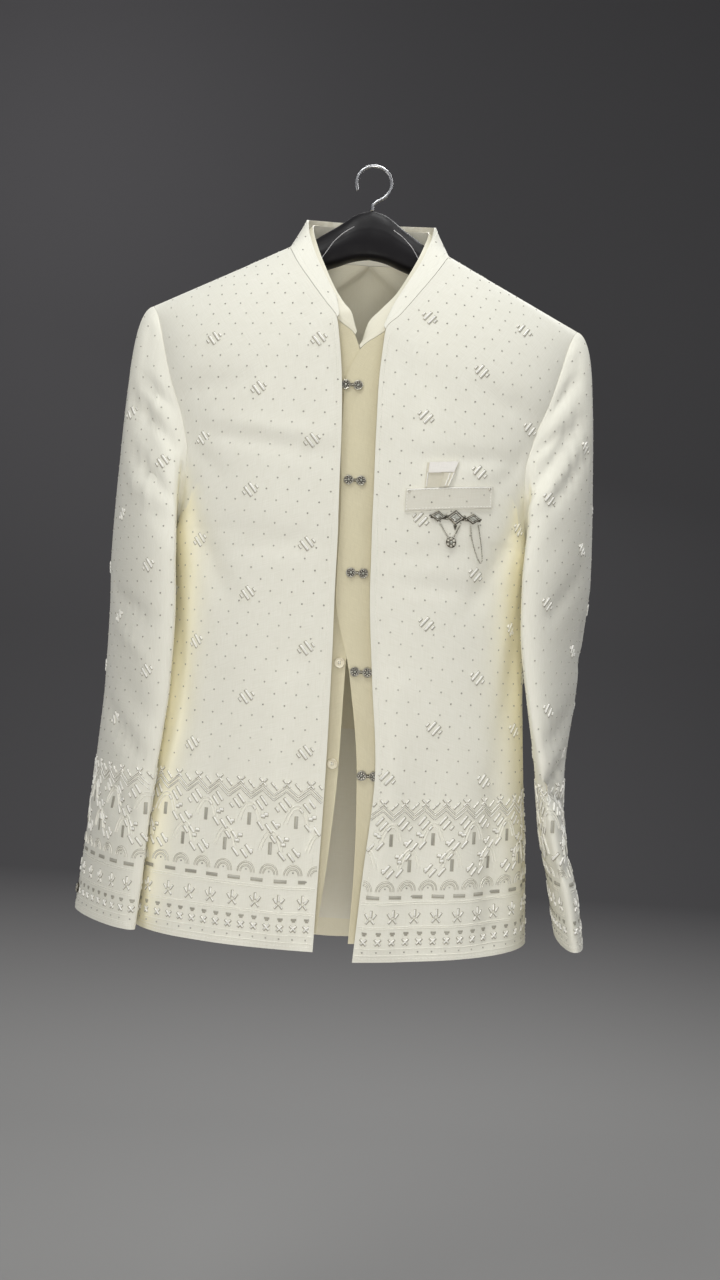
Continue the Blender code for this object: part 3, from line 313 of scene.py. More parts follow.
# The scene's own smaller creases, pressed into the cloth after the large ones. A negative depth
# is a ridge.
SLEEVE_CREASES = {
    LEFT: table(Fold, [
        ((-222, -20, -176), (-208, -26, -196), 7, -4.3),
        ((-230, -40, -250), (-190, -72, -276), 7, 4.3),
        ((-244, -45, -262), (-186, -84, -318), 7, 4.7),
        ((-238, -62, -322), (-184, -88, -372), 6, 4.3),
        ((-240, -70, -350), (-196, -90, -380), 6, -2.7),
        ((-246, -20, -470), (-196, -84, -500), 9, 3.1),
        ((-244, -20, -500), (-200, -84, -536), 8, -2.7),
        ((-246, 10, -590), (-196, -80, -640), 10, 4.3),
        ((-240, -20, -668), (-204, -78, -700), 9, 3.5),
        ((-240, 40, -520), (-236, 60, -660), 12, 3.5),
        ((-226, 70, -420), (-216, 66, -560), 14, 4.7),
        ((-206, 50, -470), (-204, 30, -620), 12, 3.1),
    ]),
    RIGHT: table(Fold, [
        ((222, -18, -178), (210, -26, -198), 7, -4.3),
        ((226, -30, -220), (192, -68, -262), 7, 5.1),
        ((214, -58, -276), (178, -80, -304), 6, 3.5),
        ((234, -50, -262), (176, -88, -346), 8, 5.1),
        ((236, -60, -300), (176, -94, -366), 7, -3.5),
        ((246, -50, -292), (206, -88, -350), 7, 4.3),
        ((248, -40, -420), (206, -90, -470), 10, 3.1),
        ((250, -50, -612), (208, -104, -640), 7, 5.1),
        ((252, -56, -664), (212, -104, -640), 7, 5.1),
        ((254, -40, -560), (206, -94, -600), 10, 3.5),
        ((262, -30, -706), (222, -90, -730), 9, 3.1),
        ((248, 30, -480), (240, 56, -640), 12, 3.9),
        ((226, 66, -420), (220, 60, -560), 14, 4.7),
    ]),
}
FRONT_CREASES = table(Fold, [
    ((-158, -86, -302), (-24, -104, -322), 9, 2.3),
    ((60, -102, -322), (170, -78, -312), 9, 2.3),
    ((-176, -62, -372), (-120, -94, -470), 12, 3.0),
    ((176, -62, -372), (122, -94, -470), 12, 3.0),
    ((-186, -40, -440), (-160, -84, -600), 16, 4.1),
    ((186, -40, -440), (164, -84, -620), 16, 4.1),
    ((-60, -104, -560), (-52, -106, -825), 18, -4.1),
    ((50, -104, -560), (56, -106, -825), 18, -3.6),
    ((-178, -62, -640), (-186, -66, -820), 15, -4.9),
    ((160, -84, -640), (166, -92, -825), 17, 5.3),
    ((-196, -20, -520), (-206, -24, -815), 14, 4.5),
    ((196, -20, -520), (206, -24, -815), 14, 4.5),
    ((-150, -88, -290), (-30, -104, -308), 10, -1.4),
    ((48, -96, -186), (66, -102, -280), 13, 2.4),
    ((-62, -90, -170), (-96, -96, -250), 14, 1.8),
    ((-196, -50, -262), (-120, -90, -250), 10, 1.6),
    ((-190, -60, -300), (-130, -92, -352), 10, 1.8),
    ((190, -60, -300), (134, -92, -350), 10, 2.0),
    ((176, -64, -268), (120, -92, -244), 10, 1.6),
    ((-140, -94, -400), (-30, -104, -412), 12, 1.4),
    ((40, -102, -420), (140, -92, -408), 12, 1.4),
])
BACK_CREASES = table(Fold, [
    ((-150, 66, -350), (-40, 90, -330), 10, 1.6),
    ((150, 66, -350), (40, 90, -336), 10, 1.6),
    ((-170, 60, -400), (-120, 84, -520), 14, 2.0),
    ((170, 60, -400), (124, 84, -530), 14, 2.0),
    ((0, 90, -520), (4, 100, -830), 20, -2.4),
    ((-150, 76, -560), (-156, 84, -825), 18, 3.2),
    ((150, 76, -560), (156, 84, -825), 18, 3.2),
    ((-190, 40, -520), (-200, 46, -815), 14, -2.0),
    ((190, 40, -520), (200, 46, -815), 14, -2.0),
    ((-60, 60, -140), (-130, 50, -210), 10, 1.2),
    ((60, 60, -140), (130, 50, -210), 10, 1.2),
])
VEST_CREASES = table(Fold, [
    ((-2, -92, -298), (30, -88, -304), 10, 1.2),
    ((4, -92, -392), (40, -88, -398), 10, 1.2),
    ((10, -92, -488), (44, -88, -494), 10, 1.2),
    ((14, -92, -588), (48, -88, -596), 10, 1.0),
    ((24, -90, -640), (30, -92, -815), 9, 1.2),
    ((-30, -90, -560), (-26, -92, -820), 12, 1.2),
    ((-10, -90, -640), (-8, -94, -820), 8, -1.0),
    ((-120, -70, -440), (-124, -84, -815), 18, 1.4),
    ((120, -70, -440), (124, -84, -815), 18, 1.4),
])
VEST_BACK_CREASES = table(Fold, [
    ((-40, 60, -470), (-44, 44, -830), 16, 1.6),
    ((44, 60, -470), (50, 44, -830), 16, 1.6),
    ((-110, 60, -470), (-120, 50, -820), 16, 1.4),
    ((110, 60, -470), (120, 50, -820), 16, 1.4),
])
COLLAR_RINGS = 8

# Embroidery, in millimetres. A border's bar is length, width, angle, thread, height and the pick
# of its painted shadow, and a stitch is length, width, angle, height and thread.
# The cloth's own coordinates, and the mask of painted bounce light: a yellowish tint where a sleeve and the
# body face each other closely, standing in for light bounced between them.
CLOTH_MAP, PAINTED_BOUNCE_MAP = "cloth", "painted_bounce_light"
THREADS = ("thread", "dots", "cord", "painted_shadow")
THREAD, DOTS, CORD, PAINTED_SHADOW = 0, 1, 2, 3
METAL, BRIGHT, RECESS, STONE = 0, 1, 2, 3
# How far the painted bounce light reaches, in millimetres.
PAINTED_BOUNCE_REACH = 38
EDGE_FADE, CREASE_STEPS, LAY_SHARE = 9, 48, 0.3
GUIDE_REACH, RAY_SPAN, LEAST_FACING, GUIDE_POINTS, BODY_MIDDLE = 150, 1.6, -0.12, 80, 120
FRONT_GUIDE = (34, -101, 197, 197)
BACK_GUIDE = (0, 90, 197, 197)
BAR_PROFILE = [(-0.5, -0.3), (-0.34, 0.66), (0.0, 1.0), (0.34, 0.66), (0.5, -0.3)]
BAR_STATIONS = [(-0.5, 0.45), (-0.4, 1.0), (0.4, 1.0), (0.5, 0.45)]
# Painted shadow: a flat dark plate under each bar and cord, reaching past it, and shifted to a bar's lower
# side.
PAINTED_SHADOW_REACH, CORD_SHADOW_REACH, PAINTED_SHADOW_LIFT, PAINTED_SHADOW_SHIFT = 0.38, 0.2, 0.22, 0.4
DIP, STRAIGHT_RISE = -0.3, 0.35
BEAD, FULL_BEAD = (0.97, 0.75, 0.4), (0.97, 0.8, 0.4)
DOT_RADIUS, BAR_HEIGHT, LOW_HEIGHT = 1.0, 1.2, 0.6
DOT_FORM = (DOT_RADIUS, 0.7, DOTS, 6, (0.96, 0.5))
DOT_PITCH, DOT_ROW, DOT_TOP, DOT_MARGIN = 21.8, 11.3, -100, 6
FRONT_DOT_REACH, BACK_DOT_REACH = (12.0, 330.0), (DOT_PITCH / 2, 330.0)
SLEEVE_DOT_REACH, SLEEVE_DOT_TOP = (-168.0, 168.0), -176
BUTI_SLANT, BUTI_MARGIN, BUTI_ROOM = 50, 8, np.array([1 / 13, 1 / 12])
BUTI_CORNERS = [(-BUTI_MARGIN, 0), (BUTI_MARGIN, 0), (0, 9), (0, -9)]
BUTI_BARS = [(-2.3, 2.0, 12.0, 2.6), (2.3, -2.0, 12.0, 2.6),
             (-6.6, 3.4, 4.2, 1.8), (6.6, -3.4, 4.2, 1.8)]
BUTI_ROWS, BUTI_DROP, SLEEVE_BUTI_DROP, LEAN_FROM = 6, 103.3, 107, -390
RIGHT_BUTI_HEIGHTS = (-175, -226)
SLEEVE_BUTI_HEIGHTS = {LEFT: (-281, -228), RIGHT: (-289, -243)}
EDGE_MARGIN, STITCH_PITCH = 1.5, 3.2
EDGE_STITCH = (2.3, 0.6, 0, 0.35, CORD)
END_STITCH, WELT_STITCH = (2.2, 0.6, 90, 0.35, THREAD), (2.2, 0.55, 6.6, 0.35, THREAD)
WELT_LIP = (1.7, 0.5, THREAD)

# The border, from its top row to its hem. Heights are above the hem, and a motif's rows give
# across, up, length, width and angle.
BORDER_SCALE = {LEFT: 1.0, RIGHT: 0.965, "back": 1.0, "sleeve": 0.985}
BORDER_TOP, BUTI_FLOOR, BORDER_WIDTH_AT, SLEEVE_WIDTH_AT = 168, 172, -730, 80
PAIR_PITCH, SMALL_PITCH = 44.8, 13.4
CROSS_HEIGHT, TWIN_HEIGHT, HATCH_HEIGHT = 163.5, 160.5, 143
SPRIG_HEIGHT, TRIANGLE_HEIGHT, STAR_HEIGHT = 46, 29.5, 21.5
CROSS = [(-1.9, -1.9, 4.4, 1.6, 45), (1.9, 1.9, 4.4, 1.6, 45),
         (1.9, -1.9, 4.4, 1.6, 135), (-1.9, 1.9, 4.4, 1.6, 135)]
ZIGZAG_FEET, ZIGZAG_RISE, ZIGZAG_CORD, FLAT_CORD = (146.5, 151.1), 9.5, (1.6, 1.1), (1.3, 0.9)
HATCH = [(-2.0, 2.4, 11.0, 2.3, 50), (2.0, -2.4, 11.0, 2.3, 50), (7.6, -5.2, 5.0, 2.0, 50)]
TWIN = [(-1.6, -1.6, 4.6, 1.6, 50), (1.6, 1.6, 4.6, 1.6, 50)]
UPPER_STAIR = [(11.5, -5.7, 9.6), (2.9, -7.5, 10.6), (-2.9, -3.4, 9.0), (-2.3, -17.8, 8.0),
               (-9.2, -17.2, 8.4)]
LOWER_STAIR = [(12.0, -6.6, 10.0), (2.9, -7.5, 10.0), (-1.6, -2.8, 10.6)]
UPPER_TIER = (0.5, 126.0, 143.0, UPPER_STAIR, [(9.8, 4.0), (-5.8, -3.4), (6.6, 6.0)])
LOWER_TIER = (0.0, 99.0, 116.5, LOWER_STAIR, [(8.4, 10.3), (11.2, 4.6), (-3.6, -4.0)])
PILLAR, STAIR_WIDTH, KNOT_SIZE = (11.5, 3.0, 90, DOTS, 0.7), 2.4, (4.2, 3.2)
ARCHES, ARCH_SPAN, ARCH_POWER = ((1.0, 0.0), (0.7, 3.6)), 0.27, 2.2
RAINBOW, RAINBOW_FOOT, RAINBOW_RISE, RAINBOW_DOT = (8.6, 5.6), 73.5, 1.15, 76.2
LEVEL_BAR_HEIGHT, LEVEL_BAR = 67.5, (12.0, 2.8, 0, DOTS, 0.7)
LEVEL_CORDS = (62.0, 59.8, 37.0, 35.0, 14.4, 7.4)
SPRIG = [(0, 4.6, 6.4, 2.0, 90), (-3.4, 2.2, 5.2, 1.7, 125), (3.4, 2.2, 5.2, 1.7, 55),
         (-2.6, -3.4, 4.6, 1.6, 50), (2.6, -3.4, 4.6, 1.6, 130)]
TRIANGLE = [(0, 1.2, 4.6, 1.5, 0), (0, -0.4, 2.6, 1.4, 0)]
STAR = [(0, 0, 7.8, 1.9, 45), (0, 0, 7.8, 1.9, 135)]
LOW_DOT, HEM_STITCH_HEIGHT, HEM_STITCH = 10.8, 4.0, (2.3, 0.6, 0, CORD, 0.3, None)

# Trim: rings are shares of the radius and heights.
MEDALLION_FOOT = [(0.96, 0.0), (1, 0.4), (1, 1.2)]
MEDALLION_RIM = [(1, 1.2), (0.95, 1.75), (0.86, 1.95), (0.77, 1.75), (0.74, 1.3)]
MEDALLION_FLOOR = [(0.75, 1.3), (0.3, 1.15)]
VEST_BUTTON_RINGS = [(0.94, 0.0), (1, 0.8), (0.98, 1.6), (0.9, 2.1), (0.8, 2.15), (0.7, 1.7), (0.4, 1.5)]
CUFF_BUTTON_RINGS = [(0.9, 0.0, 0), (1.0, 0.8, 0.03), (0.95, 1.5, 0.05), (0.72, 1.7, 0.04), (0.4, 1.3, 0)]
BROOCH_RAIL = [(-26, -0.9), (26, -0.9), (26, 0.9), (-26, 0.9)]
BROOCH_POINT = [(-1.9, 2.4), (0.0, -2.4), (1.9, 2.4)]
BROOCH_LOZENGES = [(-18.4, 8.4, 5.4), (0.0, 9.8, 7.6), (18.4, 8.4, 5.4)]
LOZENGE_RINGS = [(1, 0.0), (1, 1.0), (0.8, 1.6), (0.7, 1.7), (0.64, 1.15), (0.54, 1.1), (0.25, 1.9)]
LOZENGE_RISE, LOZENGE_POWER, LINK_PITCH = 1.6, 2.1, 1.75
BEAD_CLUSTER = [(0, -2.1, 1.0), (-0.4, 0.2, 1.2), (0.5, 2.5, 1.1), (-1.6, 2.0, 0.8), (1.7, -1.2, 0.8)]
SQUARE_CREASES = [Fold((90, -96, -330), (150, -94, -334), 3, 0.8)]
# The square is one silk: the fold band on top takes its lighter copy, painted light, and the edge strip its
# darker copy, painted shade.
SQUARE_LAYERS = [("pocket_square_band", (0.06, 0.97, 0.0, 0.42, 36, 10), 1.0, "square_band"),
                 ("pocket_square_edge", (0.62, 1.0, 0.44, 1.0, 14, 16), 0.8, "square")]
# Rolled hems in the pale thread finish: painted highlight along the folded edges.
SQUARE_HEMS = [(0.05, 0.4, 0.2), (0.84, 0.46, 1.3), (0.98, 0.46, 1.3)]
HANGER_FINE = [(0.0, 0.0), (-0.28, 0.05), (-0.5, 0.15), (-0.68, 0.27), (-0.8, 0.37), (-0.86, 0.415),
               (-0.875, 0.445), (-0.905, 0.475), (-0.96, 0.55), (-1.0, 0.64), (-1.0, 0.74), (-0.96, 0.85),
               (-0.88, 0.93), (-0.7, 0.975), (-0.4, 0.995)]
# The path of the hanger's fine front ridge, coloured near white as a painted highlight.
RIDGE = [(15, -70), (24, -76), (34, -86), (52, -112), (64, -116.5)]
RIDGE_SHIFT = {-1: (3, 3), 1: (9, 2)}

# Cloth pieces: CAD node, wall, outside, inside and slot.
CLOTHS = [
    ("jacket_front_left", JACKET_WALL, "ivory", "lining", "ivory_cloth"),
    ("jacket_front_right", JACKET_WALL, "ivory", "lining", "ivory_cloth"),
    ("jacket_back", JACKET_WALL, "ivory", "lining", "ivory_cloth"),
    ("vest_front_left", VEST_WALL, "satin", "vest_lining", "champagne_satin"),
    ("vest_front_right", VEST_WALL, "satin", "vest_lining", "champagne_satin"),
    ("vest_back", VEST_WALL, "satin", "vest_lining", "champagne_satin"),
    ("sleeve_left", JACKET_WALL, "ivory", "lining", "ivory_cloth"),
    ("sleeve_right", JACKET_WALL, "ivory", "lining", "ivory_cloth"),
    ("jacket_collar", COLLAR_WALL, "ivory", "lining", "ivory_cloth"),
    ("vest_collar", VEST_WALL, "trim", "facing", "champagne_satin"),
    ("vest_back_facing", FACING_WALL, "facing", "facing", "pale_facing"),
]
BODY_PANELS = ("jacket_front_left", "jacket_front_right", "jacket_back")
# The pieces that carry the painted bounce light.
PAINTED_BOUNCE_PANELS = BODY_PANELS + ("sleeve_left", "sleeve_right")

# Stage, in metres: name, place, aim, size, power, colour
LIGHTS = [
    ("key", (-0.8, -1.4, 1.8), (0.0, 0.0, -0.4), 0.8, 21, (0.985, 1.0, 0.98)),
    ("top", (0.35, -0.35, 1.5), (0.1, 0.0, -0.3), 0.8, 15, (0.985, 1.0, 0.985)),
    ("neck", (0.1, -1.5, -0.05), (0.0, 0.0, -0.1), 0.4, 1.3, (1.0, 0.99, 0.96)),
    ("fill", (1.7, -1.9, 0.1), (0.0, 0.0, -0.6), 1.6, 6.5, (0.97, 0.985, 1.0)),
    ("left", (-1.5, -1.9, -0.3), (0.0, 0.0, -0.6), 1.2, 6, (1.0, 0.985, 0.96)),
    ("front", (0.0, -1.7, -1.0), (0.0, 0.0, -0.2), 0.8, 9.5, (1.0, 0.975, 0.92)),
    ("rim", (0.3, 1.3, 0.9), (0.0, 0.0, -0.5), 1.4, 24, (1.0, 1.0, 1.0)),
    ("wall", (-0.9, 1.0, 0.9), (-1.2, 2.2, 0.5), 0.7, 6, (1.0, 0.98, 1.0)),
]
WORLD_COLOUR, WORLD_STRENGTH = (0.95, 0.96, 1.0), 0.2
FLOOR, BACKDROP = -1.5, 2.2
FLOOR_COLOUR, BACKDROP_COLOUR = (0.33, 0.325, 0.32), (0.075, 0.073, 0.077)
CAMERA, CAMERA_ROLL, LENS = (0.015, -1.35, -0.505), 3.5, 35.5


def unit(vectors):
    """The vectors at length one."""
    vectors = np.asarray(vectors, float)
    return vectors / np.linalg.norm(vectors, axis=-1, keepdims=True)


def running(points):
    """The distance along a line of points, at each of them."""
    return np.concatenate([[0], np.cumsum(np.linalg.norm(np.diff(points, axis=0), axis=1))])


def around(count, start=0.0):
    """Cosine and sine at even steps of a full turn."""
    angles = [2 * math.pi * (k + start) / count for k in range(count)]
    return [(math.cos(angle), math.sin(angle)) for angle in angles]


def hermite(start, leave, end, arrive, t):
    """A cubic from start to end with the given tangents at its two ends."""
    return ((2 * t ** 3 - 3 * t ** 2 + 1) * start + (t ** 3 - 2 * t ** 2 + t) * leave
            + (3 * t ** 2 - 2 * t ** 3) * end + (t ** 3 - t ** 2) * arrive)


def smooth(knots, values, at):
    """A curve through the values that never overshoots between two knots."""
    knots, values, at = (np.asarray(item, float) for item in (knots, values, at))
    flat = values.ndim == 1
    values = values.reshape(len(knots), -1)
    span = np.diff(knots)[:, None]
    slope = np.diff(values, axis=0) / span
    tangent = np.zeros_like(values)
    tangent[0], tangent[-1] = slope[0], slope[-1]
    before, after = slope[:-1], slope[1:]
    same_way = before * after > 0
    total = np.where(same_way, before + after, 1.0)
    tangent[1:-1] = np.where(same_way, 2 * before * after / total, 0.0)
    place = np.clip(np.searchsorted(knots, at, side="right") - 1, 0, len(knots) - 2)
    step = span[place]
    t = (at - knots[place])[:, None] / step
    result = hermite(values[place], step * tangent[place], values[place + 1], step * tangent[place + 1], t)
    return result[:, 0] if flat else result


def refine(table, guide=None):
    """The table's rows with FINE times as many smooth rows between them as each row's steps say.
    A guide is the table whose own changes space the rows, where that is another one."""
    values = np.array([row[:-1] for row in table], float)
    spaced = values if guide is None else np.array([row[:-1] for row in guide], float)
    travel = np.linalg.norm(np.diff(spaced, axis=0), axis=1)
    knots = np.concatenate([[0.0], np.cumsum(travel)])
    at = [knots[i] + travel[i] * k / (row.steps * FINE)
          for i, row in enumerate(table[:-1]) for k in range(row.steps * FINE)]
    return smooth(knots, values, at + [knots[-1]])


def line_number(table, lines):
    """The number of the fine row that starts the given line of a table."""
    return FINE * sum(row.steps for row in table[:lines])


def bezier(start, corner, end, t):
    """A row's curve from start to end, bent round its corner."""
    first = start + FULLNESS * (corner - start)
    second = end + FULLNESS * (corner - end)
    rest = 1 - t
    return rest ** 3 * start + 3 * rest ** 2 * t * first + 3 * rest * t ** 2 * second + t ** 3 * end


def row_point(x_in, y_in, z_in, corner, x_out, y_out, z_out, t):
    """A point on a body row. t runs from 0 at the inner end to 1 at the outer end, and a negative
    t is a distance in mm past the inner end, towards and over the middle."""
    if t < 0:
        return (x_in + t, y_in, z_in)
    x, y = bezier(np.array([x_in, y_in]), np.array([corner, y_in]), np.array([x_out, y_out]), t)
    share = (x - x_in) / (x_out - x_in)
    return (x, y, z_in + (z_out - z_in) * share)


def vertex_normals(points, faces):
    """Unit normals at the points, from the quads round each."""
    corners = points[faces]
    across = np.cross(corners[:, 2] - corners[:, 0], corners[:, 3] - corners[:, 1])
    total = np.zeros_like(points)
    for k in range(4):
        np.add.at(total, faces[:, k], across)
    return unit(total)


class Sheet:
    """A middle surface of quads, with a normal at each point and the grid that its points came from."""

    def __init__(self, points, faces, grid=None):
        self.points = np.array(points, float)
        self.faces = np.array(faces)
        self.normals = vertex_normals(self.points, self.faces)
        self.grid = grid

    def level_seam(self, indices, shift):
        """Give a shoulder or side seam a normal with no part towards the back, and set its edge a
        little off the plane y = 0 where the seam lies."""
        for index in indices:
            self.normals[index][1] = 0.0
            self.normals[index] = unit(self.normals[index])
            self.points[index][1] = shift

    def push_folds(self, folds):
        """Press each fold's soft trough into the sheet, or raise it where its depth is negative."""
        for fold in folds:
            start, end = np.array(fold.start, float), np.array(fold.end, float)
            along = end - start
            share = np.clip(((self.points - start) @ along) / (along @ along), 0, 1)
            distance = np.linalg.norm(self.points - (start + share[:, None] * along), axis=1)
            fade = np.sin(math.pi * (FOLD_FADE_FROM + FOLD_FADE_SPAN * share))
            depth = fold.depth * fade * np.exp(-(distance / fold.width) ** 2)
            self.points -= self.normals * depth[:, None]

    def face_tuples(self):
        """The quads in plain numbers."""
        return [tuple(map(int, face)) for face in self.faces]

    def open_edges(self):
        """The edges that only one face has, in that face's direction."""
        directed = {(face[k], face[(k + 1) % 4]) for face in self.face_tuples() for k in range(4)}
        return [(a, b) for a, b in sorted(directed) if (b, a) not in directed]

    def edge_fade(self):
        """A share for each point, from 0 on the sheet's edge to 1 well inside it."""
        edge = sorted({a for a, _ in self.open_edges()})
        tree = KDTree(len(edge))
        for index in edge:
            tree.insert(Vector(self.points[index]), index)
        tree.balance()
        gaps = np.array([tree.find(Vector(point))[2] for point in self.points])
        return 1 - np.exp(-(gaps / EDGE_FADE) ** 2)

    def press(self, creases):
        """Press small creases. Each one's straight line is first laid on the sheet, at the points
        nearest to it as seen from the front or the back."""
        inside = self.edge_fade()
        for crease in creases:
            start, end = np.array(crease.start, float), np.array(crease.end, float)
            line = start + (end - start) * np.linspace(0, 1, CREASE_STEPS)[:, None]
            gaps = (self.points[None] - line[:, None]) * (1.0, LAY_SHARE, 1.0)
            laid = self.points[np.argmin(np.linalg.norm(gaps, axis=2), axis=1)]
            laid[1:-1] = (laid[:-2] + laid[1:-1] + laid[2:]) / 3
            spans = np.linalg.norm(self.points[None] - laid[:, None], axis=2)
            share = np.argmin(spans, axis=0) / (CREASE_STEPS - 1)
            fade = np.sin(math.pi * (FOLD_FADE_FROM + FOLD_FADE_SPAN * share)) * inside
            depth = crease.depth * fade * np.exp(-(spans.min(axis=0) / crease.width) ** 2)
            self.points -= self.normals * depth[:, None]


def quads(grid, outward_across):
    """Quads over a grid of indices. outward_across is True where down, then across, faces out."""
    grid = np.array(grid)
    a, b, c, d = (part.ravel() for part in (grid[:-1, :-1], grid[1:, :-1], grid[1:, 1:], grid[:-1, 1:]))
    return np.column_stack([a, b, c, d] if outward_across else [d, c, b, a])


def panel_name(side):
    """The jacket front on a side."""
    return "jacket_front_right" if side == RIGHT else "jacket_front_left"


def side_grid(points, side, count, columns, place, shared=None):
    """Rows of point numbers for one side, whose points are added to the list. place gives the
    point for a row's number and a share across it. shared is the rows of the other half, whose
    centre column is used again below the neck."""
    grid = []
    for index in range(count):
        line = []
        for column in range(columns + 1):
            if shared and column == 0 and index >= BACK_NECK_STEPS * FINE:
                line.append(shared[index][0])
                continue
            x, *rest = place(index, column / columns)
            line.append(len(points))
            points.append((side * x, *rest))
        grid.append(line)
    return grid


def back_grids(count, columns, place):
    """The points, the quads and both halves' rows of a back, joined down the centre."""
    points, halves = [], {}
    for side in (RIGHT, LEFT):
        halves[side] = side_grid(points, side, count, columns, place, halves.get(RIGHT))
    return np.array(points), np.vstack([quads(halves[RIGHT], False), quads(halves[LEFT], True)]), halves


def front_rows(side):
    """The fine rows of one jacket front, each as row_point takes it."""
    own = slice(1, 5, 3) if side == RIGHT else slice(0, 4, 3)
    return [(*row[own][:1], row[2], *row[own][1:], *row[5:]) for row in refine(FRONT_ROWS)]


def front_sheet(side):
    """The middle surface of a jacket front."""
    rows = front_rows(side)
    points = []
    grid = side_grid(points, side, len(rows), FRONT_COLUMNS * FINE,
                     lambda index, share: row_point(*rows[index], share))
    sheet = Sheet(points, quads(grid, side == RIGHT), grid)
    sheet.push_folds(BODY_FOLDS)
    sheet.press(FRONT_CREASES)
    seam = grid[0] + [line[-1] for line in grid[FRONT_ARMHOLE_STEPS * FINE:]]
    sheet.level_seam(seam, -SEAM_GAP / 2)
    return sheet


def back_sheet():
    """The middle surface of the jacket's back, both halves joined down the centre below the neck."""
    rows = refine(BACK_ROWS)
    armhole_end = line_number(BACK_ROWS, BACK_LINES_TO_UNDERARM)
    points, faces, halves = back_grids(len(rows), BACK_COLUMNS * FINE,
                                       lambda index, share: row_point(*rows[index], share))
    sheet = Sheet(points, faces, halves)
    sheet.push_folds(BODY_FOLDS)
    sheet.press(BACK_CREASES)
    for grid in halves.values():
        sheet.level_seam(grid[0] + [line[-1] for line in grid[armhole_end:]], SEAM_GAP / 2)
    return sheet


def edge_loop(pairs, sheets):
    """Points and normals along a loop of panel edges, given as (sheet name, index) pairs. Two
    points that meet at a seam become one between them."""
    points, normals = [], []
    for group in pairs:
        points.append(np.mean([sheets[name].points[index] for name, index in group], axis=0))
        normals.append(unit(np.mean([sheets[name].normals[index] for name, index in group], axis=0)))
    return np.array(points), np.array(normals)


def away(points, normals, closed, check, towards):
    """Unit directions that leave the panels' edge in their own surface. The sign is set so that
    the one at the index check points towards the given direction."""
    if closed:
        tangent = np.roll(points, -1, axis=0) - np.roll(points, 1, axis=0)
    else:
        tangent = np.gradient(points, axis=0)
    direction = unit(np.cross(tangent, normals))
    if direction[check] @ np.array(towards, float) < 0:
        direction = -direction
    return direction


def ring_sheet(rings, closed, flip):
    """A sheet from rings of points, each as long as the next."""
    count = len(rings[0])
    points = np.vstack(rings)
    grid = [[i * count + k for k in range(count)] for i in range(len(rings))]
    lines = [line + [line[0]] for line in grid] if closed else grid
    return Sheet(points, quads(lines, flip), grid)


def sleeve_section(row, side, count):
    """A flattened ring of the sleeve. It starts in the middle of the outer side and goes round by
    the front edge, the side next to the body and the back edge."""
    x, y, z, turn, half, out, inner = row
    angle = math.radians(turn)
    along = np.array([math.cos(angle), math.sin(angle), 0.0])
    aside = np.array([math.sin(angle), -math.cos(angle), 0.0])
    phase = math.pi / 2 + 2 * math.pi * np.arange(count)[:, None] / count
    bulge = np.where(np.sin(phase) > 0, out, inner)
    ring = np.array([x, y, z]) + half * np.cos(phase) * along + bulge * np.sin(phase) * aside
    return ring * np.array([side, 1, 1])


def sleeve_sheet(side, table, sheets, folds):
    """A sleeve from its armhole to its cuff."""
    front = panel_name(side)
    front_edge = [line[-1] for line in sheets[front].grid]
    back = "jacket_back"
    back_edge = [line[-1] for line in sheets[back].grid[side]]
    last = FRONT_ARMHOLE_STEPS * FINE
    pairs = [[(front, front_edge[0]), (back, back_edge[0])]]
    pairs += [[(front, front_edge[k])] for k in range(1, last)]
    pairs += [[(front, front_edge[last]), (back, back_edge[last])]]
    pairs += [[(back, back_edge[k])] for k in range(last - 1, 0, -1)]
    edge, normals = edge_loop(pairs, sheets)
    leave = away(edge, normals, True, 0, (side, 0, 0))
    start = edge + SEAM_GAP * leave
    sections = [sleeve_section(row, side, len(start)) for row in refine(table)]
    end = sections[0]
    reach = np.linalg.norm(end - start, axis=1)[:, None]
    level = unit((end - start) * np.array([1, 1, 0]))
    turned = UNDERARM_TURN * np.clip(leave[:, 2:], 0, 1)
    pull = (1 - turned) * leave + (CAP_PULL + turned) * level
    first = CAP_START_REACH * np.clip(reach, *CAP_START_SPAN) * pull
    down = CAP_END_REACH * reach * np.array([0, 0, -1.0])
    rings = [start]
    for k in range(1, CAP_RINGS * FINE):
        rings.append(hermite(start, first, end, down, k / (CAP_RINGS * FINE)))
    sheet = ring_sheet(rings + sections, True, side == LEFT)
    sheet.push_folds(folds)
    sheet.press(SLEEVE_CREASES[side])
    ring = len(start)
    sheet.points[:ring] = start
    sheet.normals[:ring] = normals
    for k in range(1, FINE + 1):
        share = CAP_TURN_IN * (1 - (k - 1) / FINE)
        part = slice(k * ring, (k + 1) * ring)
        sheet.normals[part] = unit(sheet.normals[part] + share * normals)
    return sheet


def neck_loop(sheets, garment, front_steps):
    """Points and normals along a garment's neck edge, from the left front's end round the back to
    the right front's end."""
    left, right, back = f"{garment}_front_left", f"{garment}_front_right", f"{garment}_back"
    left_edge, right_edge = ([line[0] for line in sheets[name].grid] for name in (left, right))
    back_left, back_right = ([line[0] for line in sheets[back].grid[side]] for side in (LEFT, RIGHT))
    last = BACK_NECK_STEPS * FINE
    groups = [[(left, left_edge[k])] for k in range(front_steps, 0, -1)]
    groups += [[(left, left_edge[0]), (back, back_left[0])]]
    groups += [[(back, back_left[k])] for k in range(1, last)]
    groups += [[(back, back_right[k])] for k in range(last, 0, -1)]
    groups += [[(right, right_edge[0]), (back, back_right[0])]]
    groups += [[(right, right_edge[k])] for k in range(1, front_steps + 1)]
    return edge_loop(groups, sheets)


